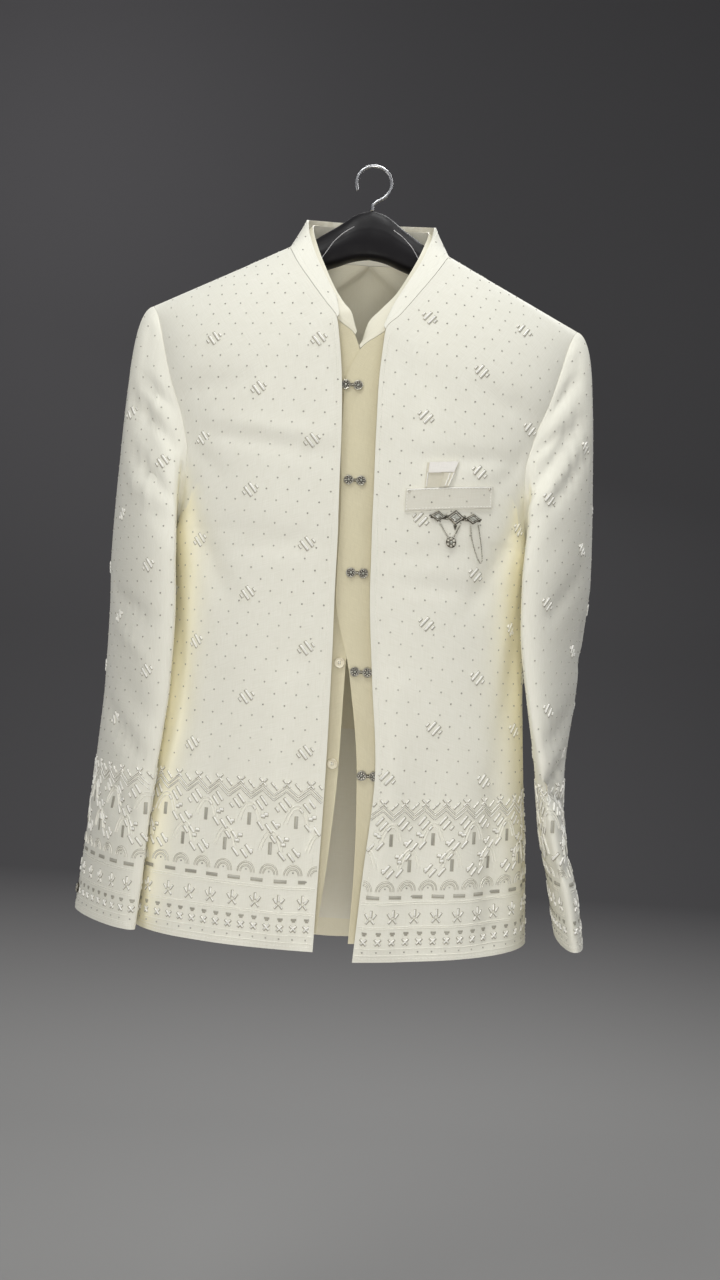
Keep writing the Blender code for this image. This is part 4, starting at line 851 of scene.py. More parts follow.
def collar_top_points(table, front_lines):
    """The top edge of one half of a collar, a point for each neck row from the front to the back.
    front_lines is how many lines of the table lie in front of the side neck."""
    at = []
    for index in range(front_lines):
        steps = FRONT_ROWS[front_lines - 1 - index].steps * FINE
        at += [index + k / steps for k in range(steps)]
    for index, row in enumerate(BACK_ROWS[:BACK_NECK_LINES]):
        at += [front_lines + index + k / (row.steps * FINE) for k in range(row.steps * FINE)]
    at.append(len(table) - 1)
    return smooth(range(len(table)), [tuple(row) for row in table], at)


def collar_sheet(edge, normals, left_top, right_top):
    """A band that stands on the neck edge."""
    middle = len(edge) // 2
    leave = away(edge, normals, False, middle, (0, 0, 1))
    start = edge + COLLAR_GAP * leave
    top = np.vstack([left_top * np.array([-1, 1, 1]), right_top[-2::-1]])
    knee = start + COLLAR_KNEE * unit(leave + unit(top - start))
    rings = [start, knee] + [knee + k / COLLAR_RINGS * (top - knee) for k in range(1, COLLAR_RINGS + 1)]
    sheet = ring_sheet(rings, False, True)
    count = len(start)
    sheet.normals[:count] = normals
    sheet.normals[count:2 * count] = unit(sheet.normals[count:2 * count] + CAP_TURN_IN * normals)
    return sheet


def inset_points(sheet, rows, depth):
    """A sheet's points moved in from the jacket, given as (row number, indices along it). The
    shoulder rows move along the surface's own normals, and the rows below the neck move level, so
    that they stay in order."""
    points = sheet.points.copy()
    for number, line in rows:
        own = sheet.normals[line]
        tangent = np.gradient(sheet.points[line][:, :2], axis=0)
        level = unit(np.column_stack([tangent[:, 1], -tangent[:, 0], np.zeros(len(line))]))
        level *= np.sign(np.sum(level * own, axis=1))[:, None]
        share = min(max((number / FINE - INSET_LEVEL_FROM) / INSET_LEVEL_SPAN, 0.0), 1.0)
        points[line] = sheet.points[line] - depth[line][:, None] * unit((1 - share) * own + share * level)
    return points


def vest_side(row, side):
    """The inner end and the depth of a waistcoat front row on one side."""
    x_left, x_right, in_left, in_right, share = row
    return (x_right, in_right, share) if side == RIGHT else (x_left, in_left, share)


def vest_front_sheet(side):
    """The middle surface of a waistcoat front, worked out from the jacket front's own rows."""
    rows = front_rows(side)
    own = refine(VEST_ROWS, FRONT_ROWS)
    hem_start = line_number(FRONT_ROWS, FRONT_LINES_TO_BORDER)

    def place(index, part):
        """A point of the front and how far in from the jacket's surface it goes."""
        row = rows[index]
        reach, inside, share = vest_side(own[index], side)
        rise = VEST_HEM_RISE * max(0, index - hem_start) / (len(rows) - 1 - hem_start)
        half = 0.5 * min(max(index / FINE - VEST_LAST_NECK_ROW, 0.0), 1.0)
        column = VEST_COLUMNS * part
        if column < 1:
            edge = np.array(row_point(*row, min(reach - row[0], 0.0) if half else 0.0))
            first = np.array(row_point(*row, share * (1 - half) / (VEST_COLUMNS - half)))
            x, y, z = edge + (first - edge) * column
        else:
            x, y, z = row_point(*row, share * (column - half) / (VEST_COLUMNS - half))
        return x, y, z + rise, inside

    points = []
    grid = side_grid(points, side, len(rows), VEST_COLUMNS * FINE, place)
    values = np.array(points)
    faces = quads(grid, side == RIGHT)
    seam = grid[0] + [line[-1] for line in grid[FRONT_ARMHOLE_STEPS * FINE:]]
    sheet = Sheet(values[:, :3], faces, grid)
    sheet.level_seam(seam, 0.0)
    sheet = Sheet(inset_points(sheet, enumerate(grid), values[:, 3]), faces, grid)
    sheet.press(VEST_CREASES)
    sheet.level_seam(seam, -SEAM_GAP / 2)
    return sheet


def vest_back_sheet():
    """The middle surface of the waistcoat's back, worked out from the jacket back's own rows. Its
    lower half hangs well inside the jacket's."""
    rows, own = refine(BACK_ROWS), refine(VEST_BACK_ROWS, BACK_ROWS)
    armhole_end = line_number(BACK_ROWS, BACK_LINES_TO_UNDERARM)
    hem_start = line_number(BACK_ROWS, BACK_LINES_TO_BORDER)

    def place(index, part):
        """A point of the back and how far in from the jacket's surface it goes."""
        inside, at_side, share = own[index]
        low = max(0, index - hem_start) / (len(rows) - 1 - hem_start)
        x, y, z = row_point(*rows[index], share * part)
        fall = low * (VEST_BACK_HEM_DROP * (1 - part ** 2) - VEST_HEM_RISE * part ** 2)
        return x, y, z - fall, at_side + (inside - at_side) * (1 - part ** VEST_BACK_SLACK)

    values, faces, halves = back_grids(len(rows), VEST_BACK_COLUMNS * FINE, place)
    seams = []
    for grid in halves.values():
        seams += grid[0] + [line[-1] for line in grid[armhole_end:]]
    sheet = Sheet(values[:, :3], faces, halves)
    sheet.level_seam(seams, 0.0)
    lines = []
    for number, (left, right) in enumerate(zip(halves[LEFT], halves[RIGHT])):
        joined = left[0] == right[0]
        lines += [(number, left[::-1] + right[1:])] if joined else [(number, left), (number, right)]
    sheet = Sheet(inset_points(sheet, lines, values[:, 3]), faces, halves)
    sheet.press(VEST_BACK_CREASES)
    sheet.level_seam(seams, SEAM_GAP / 2)
    return sheet


def tree_of(sheet, offset):
    """A tree to find points on one face of a wall, in millimetres."""
    points = sheet.points + sheet.normals * offset
    return BVHTree.FromPolygons([Vector(point) for point in points], sheet.face_tuples())


def on_surface(tree, x, z, start_y=FAR_FORWARD):
    """The point and normal where a line to the back meets a wall."""
    place, normal, _, _ = tree.ray_cast(Vector((x, start_y, z)), Vector((0, 1, 0)))
    if normal.y > 0:
        normal = -normal
    return np.array(place), np.array(normal)


def laid_sheet(tree, lines, lift, start_y=FAR_FORWARD):
    """A sheet through lines of (x, z) places, laid on a wall and moved out from it."""
    points, normals, grid = [], [], []
    for line in lines:
        indices = []
        for x, z in line:
            place, normal = on_surface(tree, x, z, start_y)
            indices.append(len(points))
            points.append(place + lift * normal)
            normals.append(normal)
        grid.append(indices)
    sheet = Sheet(points, quads(grid, True), grid)
    if np.sum(sheet.normals * np.array(normals)) < 0:
        sheet = Sheet(points, quads(grid, False), grid)
    return sheet


# Materials

def socket(shader, name, value):
    """Set one of the shader's own sockets."""
    shader.inputs[name].default_value = value


def base_material(name, colour, roughness, metallic=0.0, sheen=0.0, coat=0.0):
    """A Principled material and its shader node."""
    made = bpy.data.materials.new(name)
    made.use_nodes = True
    shader = made.node_tree.nodes["Principled BSDF"]
    socket(shader, "Base Color", (*colour, 1.0))
    socket(shader, "Roughness", roughness)
    socket(shader, "Metallic", metallic)
    socket(shader, "Sheen Weight", sheen)
    socket(shader, "Coat Weight", coat)
    made.diffuse_color = (*colour, 1.0)
    return made, shader


def node(tree, kind, **settings):
    """A node with its settings."""
    made = tree.nodes.new(kind)
    for key, value in settings.items():
        setattr(made, key, value)
    return made


def noise(tree, source, stretch, detail=3.0, roughness=0.55):
    """A noise texture over a coordinate, stretched by a scale along each axis."""
    mapping = node(tree, "ShaderNodeMapping")
    mapping.inputs["Scale"].default_value = stretch
    tree.links.new(source, mapping.inputs["Vector"])
    texture = node(tree, "ShaderNodeTexNoise")
    texture.inputs["Scale"].default_value = 1.0
    texture.inputs["Detail"].default_value = detail
    texture.inputs["Roughness"].default_value = roughness
    tree.links.new(mapping.outputs["Vector"], texture.inputs["Vector"])
    return texture.outputs["Fac"]


def ramp(tree, source, low, high, start, end):
    """A value carried from start..end to low..high."""
    made = node(tree, "ShaderNodeMapRange")
    made.inputs["From Min"].default_value = start
    made.inputs["From Max"].default_value = end
    made.inputs["To Min"].default_value = low
    made.inputs["To Max"].default_value = high
    tree.links.new(source, made.inputs["Value"])
    return made.outputs["Result"]


def mixed(tree, share, first, second, blend="MIX"):
    """A colour between two, each a socket or a plain colour. share is a socket or a number."""
    made = node(tree, "ShaderNodeMix", data_type="RGBA", blend_type=blend)
    for value, name in ((share, "Factor"), (first, "A"), (second, "B")):
        target = [item for item in made.inputs if item.name == name and item.enabled][0]
        if isinstance(value, bpy.types.NodeSocket):
            tree.links.new(value, target)
        elif name == "Factor":
            target.default_value = value
        else:
            target.default_value = (*value, 1.0)
    return [item for item in made.outputs if item.enabled][0]


def bump(tree, shader, height, strength, distance):
    """Raise the shader's surface by a height texture, distance in metres."""
    made = node(tree, "ShaderNodeBump")
    made.inputs["Strength"].default_value = strength
    made.inputs["Distance"].default_value = distance
    tree.links.new(height, made.inputs["Height"])
    tree.links.new(made.outputs["Normal"], shader.inputs["Normal"])


def cloth_coordinates(tree):
    """The cloth's own coordinates, in millimetres along and down it."""
    return node(tree, "ShaderNodeUVMap", uv_map=CLOTH_MAP).outputs["UV"]


def woven(name, colour, shade, roughness, thread, cell, height, sheen, painted_bounce=None):
    """A cloth with threads both ways. shade is the colour in its hollows, thread how many
    millimetres a thick thread measures, cell the size of its soft clouds. The last colour is painted
    bounce light, mixed in by the mesh's mask where the cloth faces another wall closely."""
    made, shader = base_material(name, colour, roughness, sheen=sheen)
    tree = made.node_tree
    uv = cloth_coordinates(tree)
    across = noise(tree, uv, (0.03 / thread, 0.7 / thread, 1.0))
    down = noise(tree, uv, (0.7 / thread, 0.03 / thread, 1.0))
    clouds = noise(tree, uv, (1 / cell, 1 / cell, 1.0), detail=2.0)
    weave = node(tree, "ShaderNodeMath", operation="ADD")
    tree.links.new(across, weave.inputs[0])
    tree.links.new(down, weave.inputs[1])
    tint = mixed(tree, ramp(tree, weave.outputs[0], 0.0, 1.0, 0.75, 1.25), shade, colour)
    tint = mixed(tree, ramp(tree, clouds, 0.0, 0.35, 0.35, 0.75), tint, shade)
    # Painted bounce light: a yellowish colour mixed in by the mesh's mask.
    if painted_bounce is not None:
        bounce_share = node(tree, "ShaderNodeAttribute", attribute_name=PAINTED_BOUNCE_MAP)
        tint = mixed(tree, bounce_share.outputs["Fac"], tint, painted_bounce)
    tree.links.new(tint, shader.inputs["Base Color"])
    tree.links.new(ramp(tree, weave.outputs[0], roughness + 0.05, roughness - 0.05, 0.75, 1.25),
                   shader.inputs["Roughness"])
    bump(tree, shader, weave.outputs[0], 0.35, height)
    return made


def brocade(name, colour, shade, roughness):
    """A pale lining with a soft woven figure of small ovals, plain between."""
    made, shader = base_material(name, colour, roughness, sheen=0.1)
    tree = made.node_tree
    uv = cloth_coordinates(tree)
    mapping = node(tree, "ShaderNodeMapping")
    mapping.inputs["Scale"].default_value = (0.09, 0.09, 1.0)
    tree.links.new(uv, mapping.inputs["Vector"])
    cells = node(tree, "ShaderNodeTexVoronoi", feature="SMOOTH_F1")
    cells.inputs["Scale"].default_value = 1.0
    cells.inputs["Randomness"].default_value = 0.35
    tree.links.new(mapping.outputs["Vector"], cells.inputs["Vector"])
    figure = ramp(tree, cells.outputs["Distance"], 0.0, 1.0, 0.28, 0.42)
    fine = noise(tree, uv, (0.9, 0.12, 1.0))
    tint = mixed(tree, figure, colour, shade)
    tint = mixed(tree, ramp(tree, fine, 0.0, 0.25, 0.4, 0.7), tint, shade)
    tree.links.new(tint, shader.inputs["Base Color"])
    bump(tree, shader, figure, 0.2, 0.0002)
    return made


def stained(name, colour, shade, roughness, scale, metallic=0.0, height=0.0001, coat=0.0, specular=0.5):
    """A hard finish that wears from one tone to another in small patches."""
    made, shader = base_material(name, colour, roughness, metallic, coat=coat)
    tree = made.node_tree
    place = node(tree, "ShaderNodeTexCoord").outputs["Object"]
    patches = noise(tree, place, (scale, scale, scale), detail=5.0)
    tree.links.new(mixed(tree, ramp(tree, patches, 0.0, 1.0, 0.36, 0.62), shade, colour),
                   shader.inputs["Base Color"])
    tree.links.new(ramp(tree, patches, roughness + 0.12, roughness - 0.06, 0.3, 0.7),
                   shader.inputs["Roughness"])
    bump(tree, shader, patches, 0.25, height)
    socket(shader, "Specular IOR Level", specular)
    return made


def make_materials():
    """Every finish, by a short name."""
    return {
        # The ivory's last colour is the painted bounce light between sleeves and body.
        "ivory": woven("ivory_wool_silk", (0.87, 0.855, 0.765), (0.80, 0.78, 0.68), 0.78, 0.5, 40, 0.00018,
                       0.2, (1.0, 0.95, 0.73)),
        # The welt is the jacket's ivory cloth in a darker copy: painted shade.
        "welt": woven("ivory_welt_painted_shade", (0.76, 0.74, 0.65), (0.70, 0.67, 0.575), 0.7, 0.5, 25, 0.00015, 0.15),
        "satin": woven("champagne_satin", (0.73, 0.67, 0.475), (0.645, 0.585, 0.4), 0.42, 0.35, 60,
                       0.00008, 0.1),
        "trim": woven("pale_satin_band", (0.78, 0.745, 0.61), (0.71, 0.675, 0.54), 0.46, 0.35, 60,
                      0.00008, 0.1),
        "lining": brocade("pale_brocade", (0.93, 0.90, 0.79), (0.80, 0.76, 0.64), 0.6),
        "vest_lining": woven("cream_lining", (0.95, 0.90, 0.72), (0.89, 0.83, 0.64), 0.55, 0.5, 50,
                             0.0001, 0.1),
        "facing": woven("pale_facing", (0.95, 0.92, 0.80), (0.90, 0.86, 0.73), 0.7, 0.5, 50, 0.0001, 0.1),
        # The pocket square's one silk in two copies: this darker one is painted shade, the next lighter one
        # painted light.
        "square": woven("silk_painted_shade", (0.72, 0.68, 0.56), (0.64, 0.60, 0.48), 0.36, 0.3, 30, 0.00008, 0.2),
        "square_band": woven("silk_fold_painted_light", (0.90, 0.87, 0.82), (0.80, 0.77, 0.72), 0.32, 0.3, 30, 0.00008,
                             0.2),
        "thread": stained("ivory_thread", (0.96, 0.95, 0.90), (0.90, 0.88, 0.81), 0.36, 900),
        "dots": stained("grey_thread", (0.52, 0.505, 0.44), (0.34, 0.325, 0.275), 0.5, 16),
        "cord": stained("cream_cord", (0.92, 0.905, 0.83), (0.85, 0.83, 0.74), 0.45, 900),
        # Dark tan for the flat plates under the stitches: painted shadow.
        "painted_shadow": stained("painted_shadow_tan", (0.46, 0.435, 0.35), (0.38, 0.355, 0.28), 0.6, 900),
        "hanger": stained("charcoal_plastic", (0.012, 0.011, 0.0125), (0.009, 0.008, 0.0095), 0.4, 60,
                          height=0.00004, specular=0.16),
        # Near white on the dark hanger's ridge: a painted highlight.
        "ridge": stained("painted_ridge_highlight", (0.95, 0.94, 0.95), (0.62, 0.61, 0.62), 0.3, 90,
                         height=0.00002),
        "wire": stained("plated_wire", (0.60, 0.60, 0.61), (0.44, 0.44, 0.46), 0.24, 300, 1.0),
        "metal": stained("antique_metal", (0.16, 0.145, 0.11), (0.055, 0.047, 0.036), 0.38, 420, 0.85),
        "bright": stained("pale_metal", (0.80, 0.77, 0.68), (0.36, 0.335, 0.27), 0.32, 420, 0.6),
        # Dark enamel in the trim's recesses, and painted shade in the vest buttons' holes.
        "recess": stained("dark_enamel_and_hole_shade", (0.05, 0.042, 0.034), (0.025, 0.02, 0.017), 0.4, 500),
        "stone": stained("clear_stone", (0.52, 0.52, 0.46), (0.27, 0.27, 0.23), 0.1, 500, height=0.00002,
                         coat=0.6),
        "pearl": stained("cream_pearl", (0.90, 0.84, 0.66), (0.80, 0.72, 0.54), 0.28, 200, coat=0.3),
    }


# Pieces

def new_piece(name, points, faces, materials, picks=None, uv=None, painted_bounce=None):
    """One object from points in millimetres, with a material for each face's pick."""
    mesh = bpy.data.meshes.new(name)
    mesh.from_pydata((np.asarray(points, float) * MM).tolist(), [], [tuple(map(int, f)) for f in faces])
    for item in materials:
        mesh.materials.append(item)
    if picks is not None:
        mesh.polygons.foreach_set("material_index", np.asarray(picks, np.int32))
    corners = np.empty(len(mesh.loops), np.int32)
    mesh.loops.foreach_get("vertex_index", corners)
    if uv is not None:
        layer = mesh.uv_layers.new(name=CLOTH_MAP)
        layer.data.foreach_set("uv", np.asarray(uv, np.float32)[corners].ravel())
    # The mask of painted bounce light, for the cloth's material.
    if painted_bounce is not None:
        bounce_share = mesh.attributes.new(PAINTED_BOUNCE_MAP, "FLOAT", "POINT")
        bounce_share.data.foreach_set("value", np.asarray(painted_bounce, np.float32))
    mesh.shade_smooth()
    mesh.set_sharp_from_angle(angle=math.radians(SHARP_ANGLE))
    mesh.update()
    piece = bpy.data.objects.new(name, mesh)
    bpy.context.scene.collection.objects.link(piece)
    return piece


def sheet_uv(sheet):
    """Millimetres along and down the sheet's own grid for each point."""
    uv = np.zeros((len(sheet.points), 2))
    grids = sheet.grid.values() if isinstance(sheet.grid, dict) else [sheet.grid]
    for grid in grids:
        grid = np.array(grid)
        steps = np.linalg.norm(np.diff(sheet.points[grid], axis=1), axis=2)
        along = np.concatenate([np.zeros((len(grid), 1)), np.cumsum(steps, axis=1)], axis=1)
        falls = np.linalg.norm(np.diff(sheet.points[grid], axis=0), axis=2)
        down = np.concatenate([np.zeros((1, grid.shape[1])), np.cumsum(falls, axis=0)], axis=0)
        uv[grid.ravel(), 0] = along.ravel()
        uv[grid.ravel(), 1] = down.ravel()
    return uv


def painted_bounce_from_others(sheet, trees):
    """How close each point faces another wall, from 0 for far to 1 for touching: the mask of
    painted bounce light.
    """
    result = np.zeros(len(sheet.points))
    for tree in trees:
        for index, (point, normal) in enumerate(zip(sheet.points, sheet.normals)):
            place, other, _, distance = tree.find_nearest(Vector(point), 3 * PAINTED_BOUNCE_REACH)
            if place is not None:
                towards = (np.array(place) - point) @ normal / max(distance, 0.1)
                facing = max(0.0, towards) * max(0.0, -(np.array(other) @ normal))
                result[index] = max(result[index], facing * math.exp(-(distance / PAINTED_BOUNCE_REACH) ** 2))
    return result


def shell(name, sheet, thickness, outer_material, inner_material, painted_bounce=None):
    """A closed wall round a sheet, its outer side and its lining in their own materials."""
    count = len(sheet.points)
    lift = sheet.normals * thickness / 2
    faces = sheet.face_tuples()
    lining = [tuple(index + count for index in reversed(face)) for face in faces]
    rims = [(b, a, a + count, b + count) for a, b in sheet.open_edges()]
    picks = [0] * len(faces) + [1] * len(lining) + [0] * len(rims)
    # The painted bounce light goes on the outer side only.
    bounce_share = np.zeros(2 * count)
    bounce_share[:count] = 0 if painted_bounce is None else painted_bounce
    return new_piece(name, np.vstack([sheet.points + lift, sheet.points - lift]), faces + lining + rims,
                     [outer_material, inner_material], picks, np.tile(sheet_uv(sheet), (2, 1)), bounce_share)


def declare(piece, sheet):
    """Work out the sheet's millimetres along and down it, which are not kept. piece is not used."""
    uv = sheet_uv(sheet)


def dress(piece, slot, *nodes):
    """The piece rides on the body and hides the CAD nodes that it stands for. slot is not used."""
    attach(piece, "root")
    if nodes:
        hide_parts(*nodes)
    return piece


def local_frame(normal):
    """Two directions across a piece that faces along the normal: to its right and up."""
    normal = np.array(normal, float)
    right = unit(np.cross(np.array([0.0, 0.0, 1.0]), normal))
    right = right if right[0] > 0 else -right
    up = unit(np.cross(normal, right))
    up = up if up[2] > 0 else -up
    return right, up


def bands(rings, count, closed=True, down_first=False):
    """Quads between rings of count points, which are numbered on from ring to ring."""
    faces = [(low + k, low + (k + 1) % count, low + count + (k + 1) % count, low + count + k)
             for low in range(0, count * (rings - 1), count) for k in range(count if closed else count - 1)]
    return [(a, d, c, b) for a, b, c, d in faces] if down_first else faces


def moved(place, a, b, h=0.0):
    """The point that lies across, up and out from a place."""
    point, normal, right, up = place
    return point + a * right + b * up + h * normal


class Relief:
    """Small raised forms gathered into one mesh. A form is given in the millimetres of its place:
    a point, its normal, and the directions across and up."""

    def __init__(self):
        self.points, self.faces, self.picks = [], [], []

    def add(self, points, faces, pick, flip=False):
        """Take in one form, its faces turned round where flip is set."""
        base = len(self.points)
        turn = -1 if flip else 1
        self.points.extend(points)
        self.faces.extend([tuple(base + index for index in face[::turn]) for face in faces])
        self.picks.extend([pick] * len(faces))

    def plate(self, place, layers, pick, top=True):
        """Rings of (across, up, height) one above another, closed at the top."""
        _, normal, right, up = place
        count = len(layers[0])
        points = [moved(place, *spot) for ring in layers for spot in ring]
        faces = bands(len(layers), count)
        if top:
            faces.append(tuple(range(len(points) - count, len(points))))
        self.add(points, faces, pick, np.cross(right, up) @ normal < 0)

    def dome(self, place, radius, height, pick, sides=8, steps=BEAD, base=DIP):
        """A round dome, such as a knot of thread, a bead or a stone. steps are its rings' shares of
        the radius, and a share of 1 stands straight."""
        rings = [(1, base)] + [(share, height * ((1 - share ** 2) ** 0.5 if share < 1 else STRAIGHT_RISE))
                               for share in steps]
        self.plate(place, [circle(radius * share, level, sides) for share, level in rings], pick)

    def bar(self, place, length, width, angle, height, pick, edge=None):
        """A satin-stitched bar with soft ends, its long axis at an angle from across, in degrees. A
        pick for its edge lays a flat dark plate round its foot, shifted to its lower side: a painted shadow."""
        point, normal, right, up = place
        turn = math.radians(angle)
        along = math.cos(turn) * right + math.sin(turn) * up
        aside = math.cos(turn) * up - math.sin(turn) * right
        flip = np.cross(along, aside) @ normal < 0
        points = []
        for station, share in BAR_STATIONS:
            for across, level in BAR_PROFILE:
                lift = level * height * (1 if level < 0 else share)
                wide = across * width * share
                points.append(point + station * length * along + wide * aside + lift * normal)
        count = len(BAR_PROFILE)
        total = len(points)
        faces = bands(len(BAR_STATIONS), count, False, True)
        faces += [tuple(range(count)), tuple(range(total - 1, total - 1 - count, -1))]
        self.add(points, faces, pick, flip)
        if edge is not None:
            # The painted shadow plate, shifted towards the bar's lower side.
            long, wide = length / 2 + PAINTED_SHADOW_REACH, width / 2 + PAINTED_SHADOW_REACH
            foot = point - PAINTED_SHADOW_SHIFT * math.copysign(1, aside[2]) * aside + PAINTED_SHADOW_LIFT * normal
            corners = ((-1, -1), (1, -1), (1, 1), (-1, 1))
            rim = [foot + a * long * along + b * wide * aside for a, b in corners]
            self.add(rim, [(0, 1, 2, 3)], edge, flip)

    def line(self, places, width, height, pick, edge=None):
        """A couched cord through places on the surface, with a flat dark plate on both sides where edge is a
        pick: a painted shadow.
        """
        points, rims = [], []
        for k, (point, normal, _, _) in enumerate(places):
            ahead = places[min(k + 1, len(places) - 1)][0] - places[max(k - 1, 0)][0]
            aside = unit(np.cross(normal, ahead))
            half, reach = width / 2 * aside, (width / 2 + CORD_SHADOW_REACH) * aside
            points += [point - half + DIP * normal, point + height * normal, point + half + DIP * normal]
            rims += [point - reach + PAINTED_SHADOW_LIFT * normal, point + reach + PAINTED_SHADOW_LIFT * normal]
        self.add(points, bands(len(places), 3, False, True), pick)
        if edge is not None:
            self.add(rims, bands(len(places), 2, False, True), edge)

    def tube(self, path, radius, pick, sides=5):
        """A round wire through points."""
        path = np.array(path, float)
        tangents = unit(np.gradient(path, axis=0))
        side = np.array((0.0, 1.0, 0.0) if abs(tangents[0][1]) < 0.9 else (1.0, 0.0, 0.0))
        side = unit(np.cross(tangents[0], side))
        points = []
        for place, tangent in zip(path, tangents):
            side = unit(side - (side @ tangent) * tangent)
            other = np.cross(tangent, side)
            points += [place + radius * (c * side + s * other) for c, s in around(sides)]
        faces = [tuple(range(sides))[::-1], tuple(range(len(points) - sides, len(points)))]
        self.add(points, faces + bands(len(path), sides), pick)

    def build(self, name, materials):
        """The gathered forms as one object."""
        return new_piece(name, self.points, self.faces, materials, self.picks)


# Where embroidery lies

class Guide:
    """A level curve that distances are measured along, from the point numbered zero, and the middle
    that it goes round."""

    def __init__(self, line, zero, middle):
        length = running(line)
        self.line = line
        self.length = length - length[zero]
        self.middle = middle

    def at(self, s):
        """The point and the unit direction at a distance, or None on a step of no length."""
        index = min(max(int(np.searchsorted(self.length, s)) - 1, 0), len(self.length) - 2)
        step = self.length[index + 1] - self.length[index]
        if not step:
            return None
        ahead = (self.line[index + 1] - self.line[index]) / step
        return self.line[index] + ahead * (s - self.length[index]), ahead


def body_guide(row, side):
    """The guide round one half of the body, the same one at every height."""
    x_in, y_in, corner, x_out = row
    bend = [bezier(np.array([x_in, y_in]), np.array([corner, y_in]), np.array([x_out, 0.0]), t)
            for t in np.linspace(0, 1, GUIDE_POINTS)]
    return Guide(np.array([[0.0, y_in]] + bend) * (side, 1), 0, np.array([side * BODY_MIDDLE, 0.0]))


class SleeveGuides:
    """The guides round a sleeve, one for each whole millimetre of height. Each is measured from
    the middle of its outer side, towards the front edge for a negative distance."""

    def __init__(self, table, side):
        self.rows = refine(table)[::-1]
        self.side = side
        self.guides = {}

    def __call__(self, z):
        if round(z) not in self.guides:
            row = [np.interp(z, self.rows[:, 2], column) for column in self.rows.T]
            points = sleeve_section(row, self.side, 2 * GUIDE_POINTS)[:, :2]
            line = np.vstack([points[GUIDE_POINTS:], points[:GUIDE_POINTS + 1]])[::-1]
            self.guides[round(z)] = Guide(line, len(line) // 2, line.mean(axis=0))
        return self.guides[round(z)]

    def around(self, z):
        """The ring's whole length at a height."""
        length = self(z).length
        return length[-1] - length[0]


class Panel:
    """A cloth panel that embroidery is placed on, by millimetres along its guide and by height.
    guide_at gives the guide at a height."""

    def __init__(self, sheet, guide_at):
        self.tree = tree_of(sheet, JACKET_WALL / 2)
        self.guide_at = guide_at

    def at(self, s, z):
        """The place on the panel's outer face, or None where the panel has none."""
        guide = self.guide_at(z)
        spot = guide.at(s)
        if spot is None:
            return None
        point, tangent = spot
        inward = np.array([tangent[1], -tangent[0]])
        inward *= 1 if inward @ (guide.middle - point) >= 0 else -1
        origin = Vector((*(point - inward * GUIDE_REACH), z))
        place, normal, _, _ = self.tree.ray_cast(origin, Vector((*inward, 0)), RAY_SPAN * GUIDE_REACH)
        if place is None:
            return None
        normal = np.array(normal)
        if normal[:2] @ inward > LEAST_FACING:
            return None
        up = unit(np.array([0.0, 0.0, 1.0]) - normal[2] * normal)
        right = np.cross(up, normal)
        return np.array(place), normal, right if right[:2] @ tangent > 0 else -right, up


# Motifs of the embroidery

def knot(work, panel, s, z):
    """One small raised dot."""
    place = panel.at(s, z)
    if place is not None:
        work.dome(place, *DOT_FORM)


def stroke(work, panel, s, z, length, width, angle, height=BAR_HEIGHT, pick=THREAD, edge=PAINTED_SHADOW):
    """One satin-stitched bar."""
    place = panel.at(s, z)
    if place is not None:
        work.bar(place, length, width, angle, height, pick, edge)


def cord(work, panel, points, width, height, pick=CORD, edge=PAINTED_SHADOW):
    """A couched cord through (along, height) places, broken where the panel has none."""
    run = []
    for spot in list(points) + [None]:
        place = spot and panel.at(*spot)
        if place:
            run.append(place)
            continue
        if len(run) > 1:
            work.line(run, width, height, pick, edge)
        run = []


def buti(work, panel, s, z):
    """A scattered motif: two slanted bars with two short ones at their sides."""
    if all(panel.at(s + a, z + b) for a, b in BUTI_CORNERS):
        for a, b, length, width in BUTI_BARS:
            stroke(work, panel, s + a, z + b, length, width, BUTI_SLANT)


